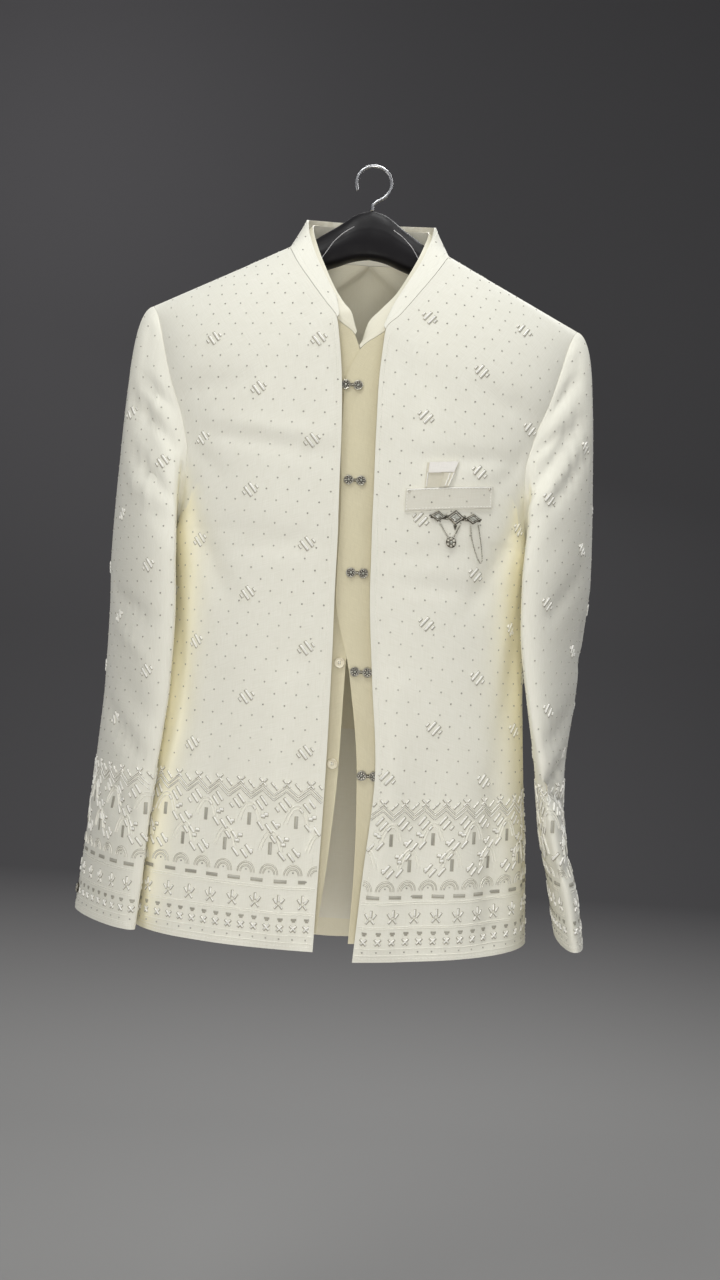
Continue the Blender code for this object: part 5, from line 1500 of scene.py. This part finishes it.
class Border:
    """The deep woven-looking border above a hem. across(share, z) gives the distance along the
    panel, where share runs from 0 to 1 between its two edges."""

    def __init__(self, work, panel, across, hem, scale, width):
        self.work, self.panel, self.across, self.hem, self.scale = work, panel, across, hem, scale
        self.width = width
        self.pairs = max(1, round(width / PAIR_PITCH))
        self.pitch = width / self.pairs / 2

    def spot(self, u, v):
        """(along, z) for a distance across the panel's own width and a height above the hem."""
        share = u / self.width
        z = self.hem(share) + v * self.scale
        return self.across(share, z), z

    def bar(self, u, v, length, width, angle, pick=THREAD, height=BAR_HEIGHT, edge=PAINTED_SHADOW):
        """One stitched bar, clear of the panel's two edges."""
        if 0.5 < u < self.width - 0.5:
            stroke(self.work, self.panel, *self.spot(u, v), length, width, angle, height, pick, edge)

    def bars(self, u, v, table, pick=THREAD, height=BAR_HEIGHT):
        """A motif's bars round a place: across, up, length, width and angle of each."""
        for a, b, length, width, angle in table:
            self.bar(u + a, v + b, length, width, angle, pick, height)

    def cord(self, places, width, height, pick=CORD, edge=PAINTED_SHADOW):
        """A couched cord through the places that lie on the panel."""
        inside = [self.spot(u, v) for u, v in places if 0 <= u <= self.width]
        if len(inside) > 1:
            cord(self.work, self.panel, inside, width, height, pick, edge)

    def dot(self, u, v):
        if 0.5 < u < self.width - 0.5:
            knot(self.work, self.panel, *self.spot(u, v))

    def tier(self, offset, middle_height, crown, stairs, knots):
        """Dark bars under double arches, with a staircase of slanted bars between two of them."""
        pair = 2 * self.pitch
        foot = middle_height - 2
        for k in range(-1, self.pairs + 1):
            middle = (k + offset) * pair
            self.bar(middle, middle_height, *PILLAR)
            for shrink, drop in ARCHES:
                half = ARCH_SPAN * pair * shrink
                rise = crown - drop - foot
                self.cord([(middle + half * t, foot + rise * (1 - abs(t) ** ARCH_POWER))
                           for t in np.linspace(-1, 1, 15)], *FLAT_CORD, edge=None)
            for a, b, length in stairs:
                self.bar(middle + pair / 2 + a, middle_height + b, length, STAIR_WIDTH, BUTI_SLANT)
            for a, b in knots:
                self.bar(middle + pair / 2 + a, middle_height + b, *KNOT_SIZE, 0)

    def build(self):
        pitch = self.pitch
        for k in range(2 * self.pairs + 1):
            u = (k + 0.5) * pitch
            self.bars(u, CROSS_HEIGHT, CROSS)
            for foot in ZIGZAG_FEET:
                zigzag = [(u + pitch * (step / 4 - 0.5), foot + ZIGZAG_RISE * (1 - abs(step - 2) / 2))
                          for step in range(5)]
                self.cord(zigzag, *ZIGZAG_CORD, THREAD)
            self.bars(u, HATCH_HEIGHT, HATCH)
            self.bars(k * pitch, TWIN_HEIGHT, TWIN)
            self.bar(u, LEVEL_BAR_HEIGHT, *LEVEL_BAR)
            self.bars(u, SPRIG_HEIGHT, SPRIG)
            middle = k * pitch
            for radius in RAINBOW:
                self.cord([(middle + radius * c, RAINBOW_FOOT + RAINBOW_RISE * radius * s)
                           for c, s in around(20)[:11]], *FLAT_CORD)
            self.dot(middle, RAINBOW_DOT)
        self.tier(*UPPER_TIER)
        self.tier(*LOWER_TIER)
        for v in LEVEL_CORDS:
            self.cord([(self.width * k / 40, v) for k in range(41)], 0.9, 0.5, edge=None)
        small = round(self.width / SMALL_PITCH)
        for k in range(small):
            u = (k + 0.5) * self.width / small
            self.bars(u, TRIANGLE_HEIGHT, TRIANGLE, DOTS, LOW_HEIGHT)
            self.bars(u, STAR_HEIGHT, STAR)
            self.dot(u, LOW_DOT)
        stitches = int(self.width / STITCH_PITCH)
        for k in range(stitches):
            self.bar((k + 0.5) * self.width / stitches, HEM_STITCH_HEIGHT, *HEM_STITCH)


def scatter(work, panel, reach, top, lattice, hem, scale):
    """Butis at the lattice's places that are clear of the border, and dots clear of both. reach is
    where along the panel the dots start and end, and top the height of their first row."""
    border = hem + BORDER_TOP * scale
    places = [(s, z) for s, z in lattice if z > hem + BUTI_FLOOR * scale + BUTI_MARGIN + 1]
    for s, z in places:
        buti(work, panel, s, z)
    spots = np.array(places)
    for row in range(int((top - border) / DOT_ROW) + 1):
        z = top - row * DOT_ROW
        for column in range(int((reach[1] - reach[0]) / DOT_PITCH) + 1):
            s = reach[0] + (column + 0.5 * (row % 2)) * DOT_PITCH
            nearest = np.min(np.abs(spots - (s, z)) @ BUTI_ROOM)
            if z >= border + DOT_MARGIN and nearest >= 1 and panel.at(s - 3, z) and panel.at(s + 3, z):
                knot(work, panel, s, z)


def lattice_of(columns, first, second, drop):
    """Motif places in columns that take turns between two heights."""
    places = []
    for k, s in enumerate(columns):
        start = first if k % 2 == 0 else second
        places += [(s, start - drop * j) for j in range(BUTI_ROWS)]
    return places


# Trim

def front_place(name):
    """The place under a CAD piece that faces straight forwards: the middle of its back."""
    low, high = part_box(name)
    point = np.array([(low[0] + high[0]) / 2, high[1], (low[2] + high[2]) / 2]) / MM
    return point, np.array([0.0, -1.0, 0.0]), np.array([1.0, 0.0, 0.0]), np.array([0.0, 0.0, 1.0])


def seated(tree, x, z, lift):
    """The place on a wall straight behind (x, z), lifted off it."""
    point, normal = on_surface(tree, x, z)
    right, up = local_frame(normal)
    return point + lift * normal, normal, right, up


def shifted(place, a, b, h=0.0):
    """A place moved across, up and out."""
    return moved(place, a, b, h), *place[1:]


def circle(radius, height, sides=24, waves=0, swell=0.0):
    """A level ring of (across, up, height), its edge scalloped where waves is given."""
    ring = []
    for k, (across, up) in enumerate(around(sides)):
        reach = radius * (1 + swell * math.cos(waves * 2 * math.pi * k / sides))
        ring.append((reach * across, reach * up, height))
    return ring


def cones(radius, table):
    """Rings of a round piece, from each one's share of the radius and its height."""
    return [circle(radius * share, height) for share, height in table]


def metals(finish):
    """The finishes of the metal pieces, in the order of METAL, BRIGHT, RECESS and STONE."""
    return [finish[key] for key in ("metal", "bright", "recess", "stone")]


def medallion(work, place, radius):
    """A round clasp head: a pale rim round a dark recess with petals and a stone."""
    work.plate(place, cones(radius, MEDALLION_FOOT), METAL, top=False)
    work.plate(place, cones(radius, MEDALLION_RIM), BRIGHT, top=False)
    work.plate(place, cones(radius, MEDALLION_FLOOR), RECESS)
    for c, s in around(8):
        petal = shifted(place, 0.55 * radius * c, 0.55 * radius * s, 1.2)
        work.dome(petal, 0.15 * radius, 0.75, BRIGHT, steps=(0.95, 0.55))
    for c, s in around(20, 0.5):
        bead = shifted(place, 0.86 * radius * c, 0.86 * radius * s, 1.85)
        work.dome(bead, 0.07 * radius, 0.3, METAL, 5, (0.9, 0.4))
    work.dome(shifted(place, 0, 0, 1.2), 0.3 * radius, 1.5, STONE, 10, FULL_BEAD)


def clasps(finish):
    """The five clasps of the waistcoat, each two medallions with a pair of wires between them."""
    for index in range(1, len(CLASP_PLACES) + 1):
        name = f"clasp_{index}"
        place = front_place(name)
        work = Relief()
        for side in (-1, 1):
            medallion(work, shifted(place, side * CLASP_PITCH / 2, 0), MEDALLION / 2)
        for b in (-0.9, 0.9):
            work.tube([moved(place, a, b, 1.1) for a in (-1.9, 0.0, 1.9)], 0.62, METAL, 8)
        work.dome(shifted(place, 0, 0, 1.0), 1.0, 1.3, BRIGHT, 10)
        dress(work.build(f"{name}_detail", metals(finish)), "antique_metal", name)


def lozenge(half, tall, height, count=32):
    """A lozenge with hollow sides."""
    return [(half * math.copysign(abs(c) ** LOZENGE_POWER, c),
             tall * math.copysign(abs(s) ** LOZENGE_POWER, s), height) for c, s in around(count)]


def brooch(finish, tree):
    """The brooch on the welt: three stones in a bar, a drop on two chains and two loops of chain."""
    place = seated(tree, *BROOCH_CENTRE, BROOCH_SEAT)
    bar = Relief()
    bar.plate(place, [[(a, b, h) for a, b in BROOCH_RAIL] for h in (0.0, 1.2)], METAL)
    for centre, half, tall in BROOCH_LOZENGES:
        spot = shifted(place, centre, LOZENGE_RISE)
        rings = [lozenge(half * share, tall * share, height) for share, height in LOZENGE_RINGS]
        bar.plate(spot, rings[:3], METAL, top=False)
        bar.plate(spot, rings[2:5], BRIGHT, top=False)
        bar.plate(spot, rings[4:6], RECESS, top=False)
        bar.plate(spot, rings[5:], STONE)
        for a in (-1, 1):
            bar.dome(shifted(spot, a * half * 0.97, 0, 0.6), 0.95, 1.0, METAL)
    for centre in (-9.4, 9.4):
        for a, b, radius in BEAD_CLUSTER:
            bead = shifted(place, centre + a, b + LOZENGE_RISE, 0.9)
            bar.dome(bead, radius, 1.2, BRIGHT if radius < 1.15 else METAL)
    bar.plate(shifted(place, 0, -8.6), [[(a, b, h) for a, b in BROOCH_POINT] for h in (0.0, 1.1)], METAL)
    drop = Relief()
    hub = shifted(place, *DROP_CENTRE)
    for root in DROP_ROOTS:
        strand(drop, place, [root, DROP_CENTRE], 3.6)
    drop.plate(hub, [circle(5.2, 0.0), circle(5.4, 0.6), circle(4.6, 0.9)], METAL)
    for c, s in around(6, 0.5):
        drop.dome(shifted(hub, 3.5 * c, 3.5 * s, 0.6), 1.65, 1.3, BRIGHT, 10)
    drop.dome(shifted(hub, 0, 0, 0.7), 1.7, 1.6, STONE, 10)
    chain = Relief()
    strand(chain, place, CHAIN_ROUTE, 0.0, CHAIN_LIFT)
    for name, work in (("brooch_bar", bar), ("brooch_drop", drop), ("brooch_chain", chain)):
        dress(work.build(f"{name}_detail", metals(finish)), "antique_metal", name)


def strand(work, place, route, end_gap, lift=0.7):
    """A fine chain along (across, up) places: round links on a wire."""
    route = np.array(route, float)
    fine = smooth(range(len(route)), route, np.linspace(0, len(route) - 1, 24 * (len(route) - 1) + 1))
    length = running(fine)
    at = 0.0
    while at < length[-1] - end_gap:
        a, b = (np.interp(at, length, column) for column in fine.T)
        work.dome(shifted(place, a, b, lift - 0.7), 0.78, 1.5, BRIGHT, 7, (1.0, 0.85, 0.5), 0.0)
        at += LINK_PITCH
    work.tube([moved(place, *spot, lift) for spot in fine[::4]], 0.34, METAL)


def buttons(finish, under, sleeves):
    """Two cream buttons on the waistcoat and a metal one on each cuff."""
    for index, (x, z) in enumerate(VEST_BUTTONS, 1):
        place = seated(under, x, z, SEAT_GAP)
        work = Relief()
        work.plate(place, cones(VEST_BUTTON[0] / 2, VEST_BUTTON_RINGS), 0)
        # The four holes are flat dark discs: painted shade standing in for the holes.
        for c, s in around(4, 0.5):
            work.dome(shifted(place, 1.3 * c, 1.3 * s, 1.5), 0.5, 0.12, 1, steps=(0.9, 0.4), base=0.0)
        for turn in (45, 135):
            work.bar(shifted(place, 0, 0, 1.5), 2.6, 0.6, turn, 0.45, 2)
        name = f"vest_button_{index}"
        looks = [finish[key] for key in ("pearl", "recess", "thread")]
        dress(work.build(f"{name}_detail", looks), "pearl", name)
    for side, name in ((LEFT, "cuff_button_left"), (RIGHT, "cuff_button_right")):
        start = Vector((side * FAR_ASIDE, CUFF_BUTTON_Y, CUFF_BUTTON_Z[side]))
        point, normal, _, _ = sleeves[side].ray_cast(start, Vector((-side, 0, 0)))
        normal = np.array(normal)
        place = (np.array(point) + SEAT_GAP * normal, normal, *local_frame(normal))
        radius = CUFF_BUTTON[0] / 2
        work = Relief()
        work.plate(place, [circle(radius * share, height, 48, 8, swell)
                           for share, height, swell in CUFF_BUTTON_RINGS], METAL)
        for c, s in around(8):
            petal = shifted(place, 0.66 * radius * c, 0.66 * radius * s, 1.4)
            work.dome(petal, 0.2 * radius, 1.0, BRIGHT, 10)
        work.dome(shifted(place, 0, 0, 1.2), 0.34 * radius, 1.7, BRIGHT, 12, FULL_BEAD)
        dress(work.build(f"{name}_detail", metals(finish)[:3]), "antique_metal", name)


# Pocket

def welt_grid(columns, rows):
    """Places over the pocket welt, which rises a little outwards."""
    (x, z), (width, height) = WELT_CENTRE, WELT_SIZE
    across = [width * (k / columns - 0.5) for k in range(columns + 1)]
    return [[(x + a, z + height * (0.5 - level / rows) + WELT_RISE * a) for a in across]
            for level in range(rows + 1)]


def square_grid(left, right, top, foot, columns, rows):
    """Places over a part of the pocket square. left and right are shares across it, and top and
    foot shares of its height from its top edge."""
    lines = []
    for level in range(rows + 1):
        share = top + (foot - top) * level / rows
        start, end = (high * (1 - share) + low * share for high, low in zip(SQUARE_TOP, SQUARE_FOOT))
        across = [start + (end - start) * (left + (right - left) * k / columns) for k in range(columns + 1)]
        lines.append([(x, WELT_CENTRE[1] + WELT_SIZE[1] / 2 + WELT_RISE * (x - WELT_CENTRE[0]) + SEAM_GAP
                       + SQUARE_HEIGHT * (1 - share)) for x in across])
    return lines


def pocket(finish, tree):
    """The welt with its stitches, and the folded square that shows above it."""
    welt = laid_sheet(tree, welt_grid(44, 12), SEAT_GAP + WELT_THICK / 2)
    # The welt, in the darker copy of the ivory cloth: painted shade.
    piece = shell("pocket_welt", welt, WELT_THICK, finish["welt"], finish["welt"])
    declare(dress(piece, "ivory_cloth", "chest_welt"), welt)
    face = tree_of(welt, WELT_THICK / 2)
    work = Relief()
    (x, z), (width, height) = WELT_CENTRE, WELT_SIZE

    def spot(across, up):
        """A place on the welt, from its middle."""
        return seated(face, x + across, z + WELT_RISE * across + up, 0.0)

    for k in range(5):
        work.dome(spot(width * (k / 5 - 0.4), 3.0 * (-1) ** k - 0.5), *DOT_FORM)
    for end in (-1, 1):
        for k in range(7):
            work.bar(spot(end * (width / 2 - 1.6), height * (k / 7 - 0.43)), *END_STITCH)
    for edge in (-1, 1):
        for k in range(27):
            work.bar(spot(width * ((k + 0.5) / 27 - 0.5), edge * (height / 2 - 1.6)), *WELT_STITCH)
        work.dome(spot(edge * (width / 2 - 3.4), height / 2 - 2.6), 1.5, 1.3, 2, 12)
    work.line([spot(0.97 * width * (k / 30 - 0.5), height / 2 - 0.9) for k in range(31)], *WELT_LIP)
    looks = [finish[key] for key in ("thread", "dots", "bright")]
    dress(work.build("pocket_welt_stitches", looks), "ivory_cloth")
    square = laid_sheet(tree, square_grid(0, 1, 0, 1, 36, 24), SEAT_GAP + SQUARE_THICK / 2)
    square.push_folds(SQUARE_CREASES)
    # The square's main field, in the darker copy of its silk: painted shade.
    piece = shell("pocket_square_base", square, SQUARE_THICK, finish["square"], finish["square"])
    declare(dress(piece, "ivory_cloth", "pocket_square"), square)
    for name, part, thick, key in SQUARE_LAYERS:
        fold = laid_sheet(tree, square_grid(*part), SEAT_GAP + SQUARE_THICK + SEAT_GAP + thick / 2)
        piece = shell(name, fold, thick, finish[key], finish[key])
        declare(dress(piece, "ivory_cloth"), fold)
    # The rolled hems, in pale thread: painted highlight along the folded edges.
    hems = Relief()
    for share, top, lift in SQUARE_HEMS:
        cells = square_grid(share, share + 0.01, top, 0.97, 1, 12)
        hems.line([seated(tree, *line[0], SEAT_GAP + SQUARE_THICK + lift) for line in cells], 1.5, 0.8, 0)
    dress(hems.build("pocket_square_hem_highlights", [finish["thread"]]), "ivory_cloth")


# Hanger

def hanger(finish):
    """The moulded hanger, with a fine raised ridge along its front coloured near white: a painted highlight.
    """
    sections = []
    for x, top, bottom, half in refine(HANGER_ROWS):
        front = [(across * half, top - down * (top - bottom)) for across, down in HANGER_FINE]
        back = [(-y, z) for y, z in front[:0:-1]]
        sections.append([(x, y, z) for y, z in front + [(0.0, bottom)] + back])
    rings = [[(-x, y, z) for x, y, z in section] for section in sections[:0:-1]] + sections
    count = len(rings[0])
    points = [point for ring in rings for point in ring]
    faces = [tuple(range(count)), tuple(range(len(points) - count, len(points)))[::-1]]
    faces = [face[::-1] for face in faces + bands(len(rings), count, True, True)]
    dress(new_piece("hanger_moulding", points, faces, [finish["hanger"]]), "hanger_plastic", "hanger_body")
    surface = BVHTree.FromPolygons([Vector(point) for point in points], faces)
    # The ridges, near white: painted highlight lines.
    work = Relief()
    for side in (-1, 1):
        out, rise = RIDGE_SHIFT[side]
        route = smooth(range(len(RIDGE)), [(side * (x + out), z + rise) for x, z in RIDGE],
                       np.linspace(0, len(RIDGE) - 1, 60))
        work.line([seated(surface, x, z, 0.0) for x, z in route], 1.1, 0.6, 0)
    dress(work.build("hanger_ridge_highlights", [finish["ridge"]]), "hanger_plastic")


def hook(finish):
    """The hanger's wire hook."""
    radius = HOOK_INNER_RADIUS + HOOK_WIRE
    angles = np.radians(np.linspace(HOOK_NECK_ANGLE, HOOK_OPEN_ANGLE, 64))
    crown = [(radius * math.cos(angle), 0.0, radius * math.sin(angle) - HOOK_INNER_RADIUS)
             for angle in angles]
    first_x, _, first_z = crown[0]
    knots = [(0.0, 0.0, HOOK_STEM_FOOT), (0.0, 0.0, 0.5 * (HOOK_STEM_FOOT + first_z) - 2),
             (0.45 * first_x, 0.0, first_z - 3.0), crown[0]]
    stem = smooth(range(4), knots, np.linspace(0, 3, 16))[:-1]
    work = Relief()
    work.tube(list(stem) + crown, HOOK_WIRE, 0, sides=14)
    dress(work.build("hanger_wire", [finish["wire"]]), "steel_wire", "hanger_hook")


# Stage

def studio():
    """A pale floor that curves up into a grey backdrop, soft lights and the camera."""
    profile = [(-4.0, FLOOR), (BACKDROP - 1.0, FLOOR)]
    profile += [(BACKDROP - 1.0 + math.sin(math.radians(a)), FLOOR + 1 - math.cos(math.radians(a)))
                for a in range(6, 90, 6)] + [(BACKDROP, FLOOR + 1), (BACKDROP, FLOOR + 5)]
    points = [(x / MM, y / MM, z / MM) for x in (-5.0, 5.0) for y, z in profile]
    count = len(profile)
    faces = [(k, count + k, count + k + 1, k + 1) for k in range(count - 1)]
    made, shader = base_material("backdrop_paper", BACKDROP_COLOUR, 0.95)
    tree = made.node_tree
    place = node(tree, "ShaderNodeTexCoord").outputs["Object"]
    split = node(tree, "ShaderNodeSeparateXYZ")
    tree.links.new(place, split.inputs[0])
    tone = mixed(tree, ramp(tree, split.outputs["Z"], 0.0, 1.0, FLOOR, FLOOR + 0.35), FLOOR_COLOUR,
                 BACKDROP_COLOUR)
    tree.links.new(tone, shader.inputs["Base Color"])
    ground = new_piece("backdrop", points, faces, [made])
    for name, place, aim, size, power, colour in LIGHTS:
        light = bpy.data.lights.new(name, "AREA")
        light.shape = "DISK"
        light.size = size
        light.energy = power
        light.color = colour
        lamp = bpy.data.objects.new(name, light)
        lamp.location = place
        lamp.rotation_euler = (Vector(aim) - Vector(place)).to_track_quat("-Z", "Y").to_euler()
        bpy.context.scene.collection.objects.link(lamp)
    world = bpy.data.worlds.new("studio")
    world.use_nodes = True
    world.node_tree.nodes["Background"].inputs["Color"].default_value = (*WORLD_COLOUR, 1.0)
    world.node_tree.nodes["Background"].inputs["Strength"].default_value = WORLD_STRENGTH
    bpy.context.scene.world = world
    bpy.context.scene.view_settings.view_transform = "Standard"
    lens = bpy.data.cameras.new("camera")
    lens.lens = LENS
    camera = bpy.data.objects.new("camera", lens)
    camera.matrix_world = (Matrix.Translation(CAMERA) @ Matrix.Rotation(math.radians(90), 4, "X")
                           @ Matrix.Rotation(math.radians(CAMERA_ROLL), 4, "Z"))
    bpy.context.scene.collection.objects.link(camera)
    bpy.context.scene.camera = camera


def edge_stitches(work, sheet, lines, inset):
    """Small stitches along an edge of a sheet, given as rows of point numbers from the edge in."""
    line = np.array(lines)[:, inset]
    points = sheet.points[line] + sheet.normals[line] * JACKET_WALL / 2
    length = running(points)
    for at in np.arange(STITCH_PITCH, length[-1] - 2, STITCH_PITCH):
        reads = ((at, points), (at + 1, points), (at, sheet.normals[line]))
        point, ahead, normal = (np.array([np.interp(where, length, column) for column in values.T])
                                for where, values in reads)
        normal, along = unit(normal), unit(ahead - point)
        work.bar((point, normal, along, np.cross(normal, along)), *EDGE_STITCH)


def embroidery(finish, work, name):
    """What was gathered on one panel, as a piece that rides with its cloth."""
    return dress(work.build(name, [finish[key] for key in THREADS]), "ivory_cloth")


def right_lattice():
    """Motif places on the viewer's right front, whose lower columns lean out and draw together."""
    places = []
    for k in range(-1, 4):
        for j in range(BUTI_ROWS):
            z = RIGHT_BUTI_HEIGHTS[k % 2] - BUTI_DROP * j
            low = max(0.0, LEAN_FROM - z)
            places.append((68 + 0.13 * low + k * max(51.0, 60 - 0.075 * low), z))
    return places


def embroider_front(finish, sheet, side):
    """Dots, scattered motifs and the border of one jacket front."""
    ends = [(row.z_right, row.x_right) if side == RIGHT else (row.z_left, row.x_left) for row in FRONT_ROWS]
    heights, insides = zip(*sorted(dict(ends).items()))
    hem = ends[-1][0]
    guide = body_guide(FRONT_GUIDE, side)
    panel = Panel(sheet, lambda z: guide)
    work = Relief()
    end = guide.length[-1]

    def inner(z):
        """How far along the guide the front's inner edge lies."""
        return np.interp(z, heights, insides) + EDGE_MARGIN

    Border(work, panel, lambda share, z: inner(z) + share * (end - inner(z)),
           lambda share: hem + (FRONT_ROWS[-1].z_out - hem) * share, BORDER_SCALE[side],
           end - inner(BORDER_WIDTH_AT)).build()
    left = [(s - 0.055 * max(0.0, LEAN_FROM - z), z)
            for s, z in lattice_of([44.6 + 60.4 * k for k in range(-1, 4)], -258, -206, BUTI_DROP)]
    scatter(work, panel, FRONT_DOT_REACH, DOT_TOP, left if side == LEFT else right_lattice(), hem,
            BORDER_SCALE[side])
    edge_stitches(work, sheet, sheet.grid[NECK_STEPS * FINE:], 1)
    return embroidery(finish, work, panel_name(side).replace("jacket", "embroidery"))


def embroider_back(finish, sheet):
    """The back's embroidery, both halves in one piece."""
    work = Relief()
    hem, fall = BACK_ROWS[-1].z_in, BACK_ROWS[-1].z_out - BACK_ROWS[-1].z_in
    for side in (LEFT, RIGHT):
        guide = body_guide(BACK_GUIDE, side)
        panel = Panel(sheet, lambda z: guide)
        end = guide.length[-1]
        Border(work, panel, lambda share, z: share * end, lambda share: hem + fall * share,
               BORDER_SCALE["back"], end).build()
        lattice = lattice_of([30 + 60 * k for k in range(5)], -206, -258, BUTI_DROP)
        scatter(work, panel, BACK_DOT_REACH, DOT_TOP, lattice, hem, BORDER_SCALE["back"])
    return embroidery(finish, work, "embroidery_back")


def embroider_sleeve(finish, sheet, side):
    """A sleeve's embroidery, its border all the way round."""
    table = RIGHT_SLEEVE_ROWS if side == RIGHT else LEFT_SLEEVE_ROWS
    guides = SleeveGuides(table, side)
    panel = Panel(sheet, guides)
    work = Relief()
    hem, scale = table[-1].z, BORDER_SCALE["sleeve"]
    Border(work, panel, lambda share, z: (share - 0.5) * guides.around(z), lambda share: hem, scale,
           guides.around(hem + SLEEVE_WIDTH_AT)).build()
    lattice = lattice_of([-66 + 60 * k for k in range(-1, 4)], *SLEEVE_BUTI_HEIGHTS[side], SLEEVE_BUTI_DROP)
    scatter(work, panel, SLEEVE_DOT_REACH, SLEEVE_DOT_TOP, lattice, hem, scale)
    edge = np.array(sheet.grid[:-4:-1]).T
    edge_stitches(work, sheet, np.vstack([edge, edge[:1]]), 1)
    return embroidery(finish, work, f"embroidery_sleeve_{'right' if side == RIGHT else 'left'}")


def stitched_collar(finish, sheet):
    """Two rows of stitches and a few dots on the jacket's collar."""
    work = Relief()
    columns = np.array(sheet.grid).T
    edge_stitches(work, sheet, columns[:, ::-1], 1)
    edge_stitches(work, sheet, columns, 2)
    for level, start in ((4, 6), (7, 12)):
        for index in columns[start:-4:13, level]:
            normal = sheet.normals[index]
            place = (sheet.points[index] + normal * COLLAR_WALL / 2, normal, *local_frame(normal))
            work.dome(place, *DOT_FORM)
    return embroidery(finish, work, "collar_stitches")


def make_sheets():
    """The middle surface of every cloth piece, by its CAD node."""
    sheets = {
        "jacket_front_left": front_sheet(LEFT),
        "jacket_front_right": front_sheet(RIGHT),
        "jacket_back": back_sheet(),
        "vest_front_left": vest_front_sheet(LEFT),
        "vest_front_right": vest_front_sheet(RIGHT),
        "vest_back": vest_back_sheet(),
    }
    sheets["sleeve_left"] = sleeve_sheet(LEFT, LEFT_SLEEVE_ROWS, sheets, LEFT_SLEEVE_FOLDS)
    sheets["sleeve_right"] = sleeve_sheet(RIGHT, RIGHT_SLEEVE_ROWS, sheets, RIGHT_SLEEVE_FOLDS)
    for garment, left, right, steps, lines in (
            ("jacket", COLLAR_TOP, COLLAR_TOP_RIGHT, NECK_STEPS, JACKET_NECK_LINES),
            ("vest", VEST_COLLAR_TOP_LEFT, VEST_COLLAR_TOP_RIGHT, VEST_NECK_STEPS, VEST_NECK_LINES)):
        edge, normals = neck_loop(sheets, garment, steps * FINE)
        tops = [collar_top_points(table, lines) for table in (left, right)]
        sheets[f"{garment}_collar"] = collar_sheet(edge, normals, *tops)
    inside = tree_of(sheets["vest_back"], -VEST_WALL / 2)
    steps = np.linspace(0, 1, 31)
    lines = [[(FACING_HALF * (2 * across - 1), FACING_TOP + down * (FACING_FOOT - FACING_TOP))
              for across in steps] for down in steps]
    sheets["vest_back_facing"] = laid_sheet(inside, lines, SEAT_GAP + FACING_WALL / 2, INSIDE_BACK)
    return sheets


def main():
    finish = make_materials()
    studio()
    sheets = make_sheets()
    sleeves = {LEFT: sheets["sleeve_left"], RIGHT: sheets["sleeve_right"]}
    close = {"sleeve": [tree_of(sheets[name], 0) for name in BODY_PANELS],
             "jacket": [tree_of(sheet, 0) for sheet in sleeves.values()]}
    pieces = {}
    for name, thickness, outside, inside, slot in CLOTHS:
        # The mask of painted bounce light where sleeves and body face each other.
        painted_bounce = painted_bounce_from_others(sheets[name], close[name.split("_")[0]]) if name in PAINTED_BOUNCE_PANELS else None
        piece = shell(f"{name}_cloth", sheets[name], thickness, finish[outside], finish[inside], painted_bounce)
        pieces[name] = dress(piece, slot, name)
    hanger(finish)
    hook(finish)
    for side in (LEFT, RIGHT):
        name = panel_name(side)
        embroider_front(finish, sheets[name], side)
    embroider_back(finish, sheets["jacket_back"])
    embroider_sleeve(finish, sleeves[LEFT], LEFT)
    embroider_sleeve(finish, sleeves[RIGHT], RIGHT)
    stitched_collar(finish, sheets["jacket_collar"])
    for name, piece in pieces.items():
        declare(piece, sheets[name])
    jacket = tree_of(sheets["jacket_front_right"], JACKET_WALL / 2)
    clasps(finish)
    brooch(finish, jacket)
    buttons(finish, tree_of(sheets["vest_front_left"], VEST_WALL / 2),
            {side: tree_of(sheet, JACKET_WALL / 2) for side, sheet in sleeves.items()})
    pocket(finish, jacket)


main()
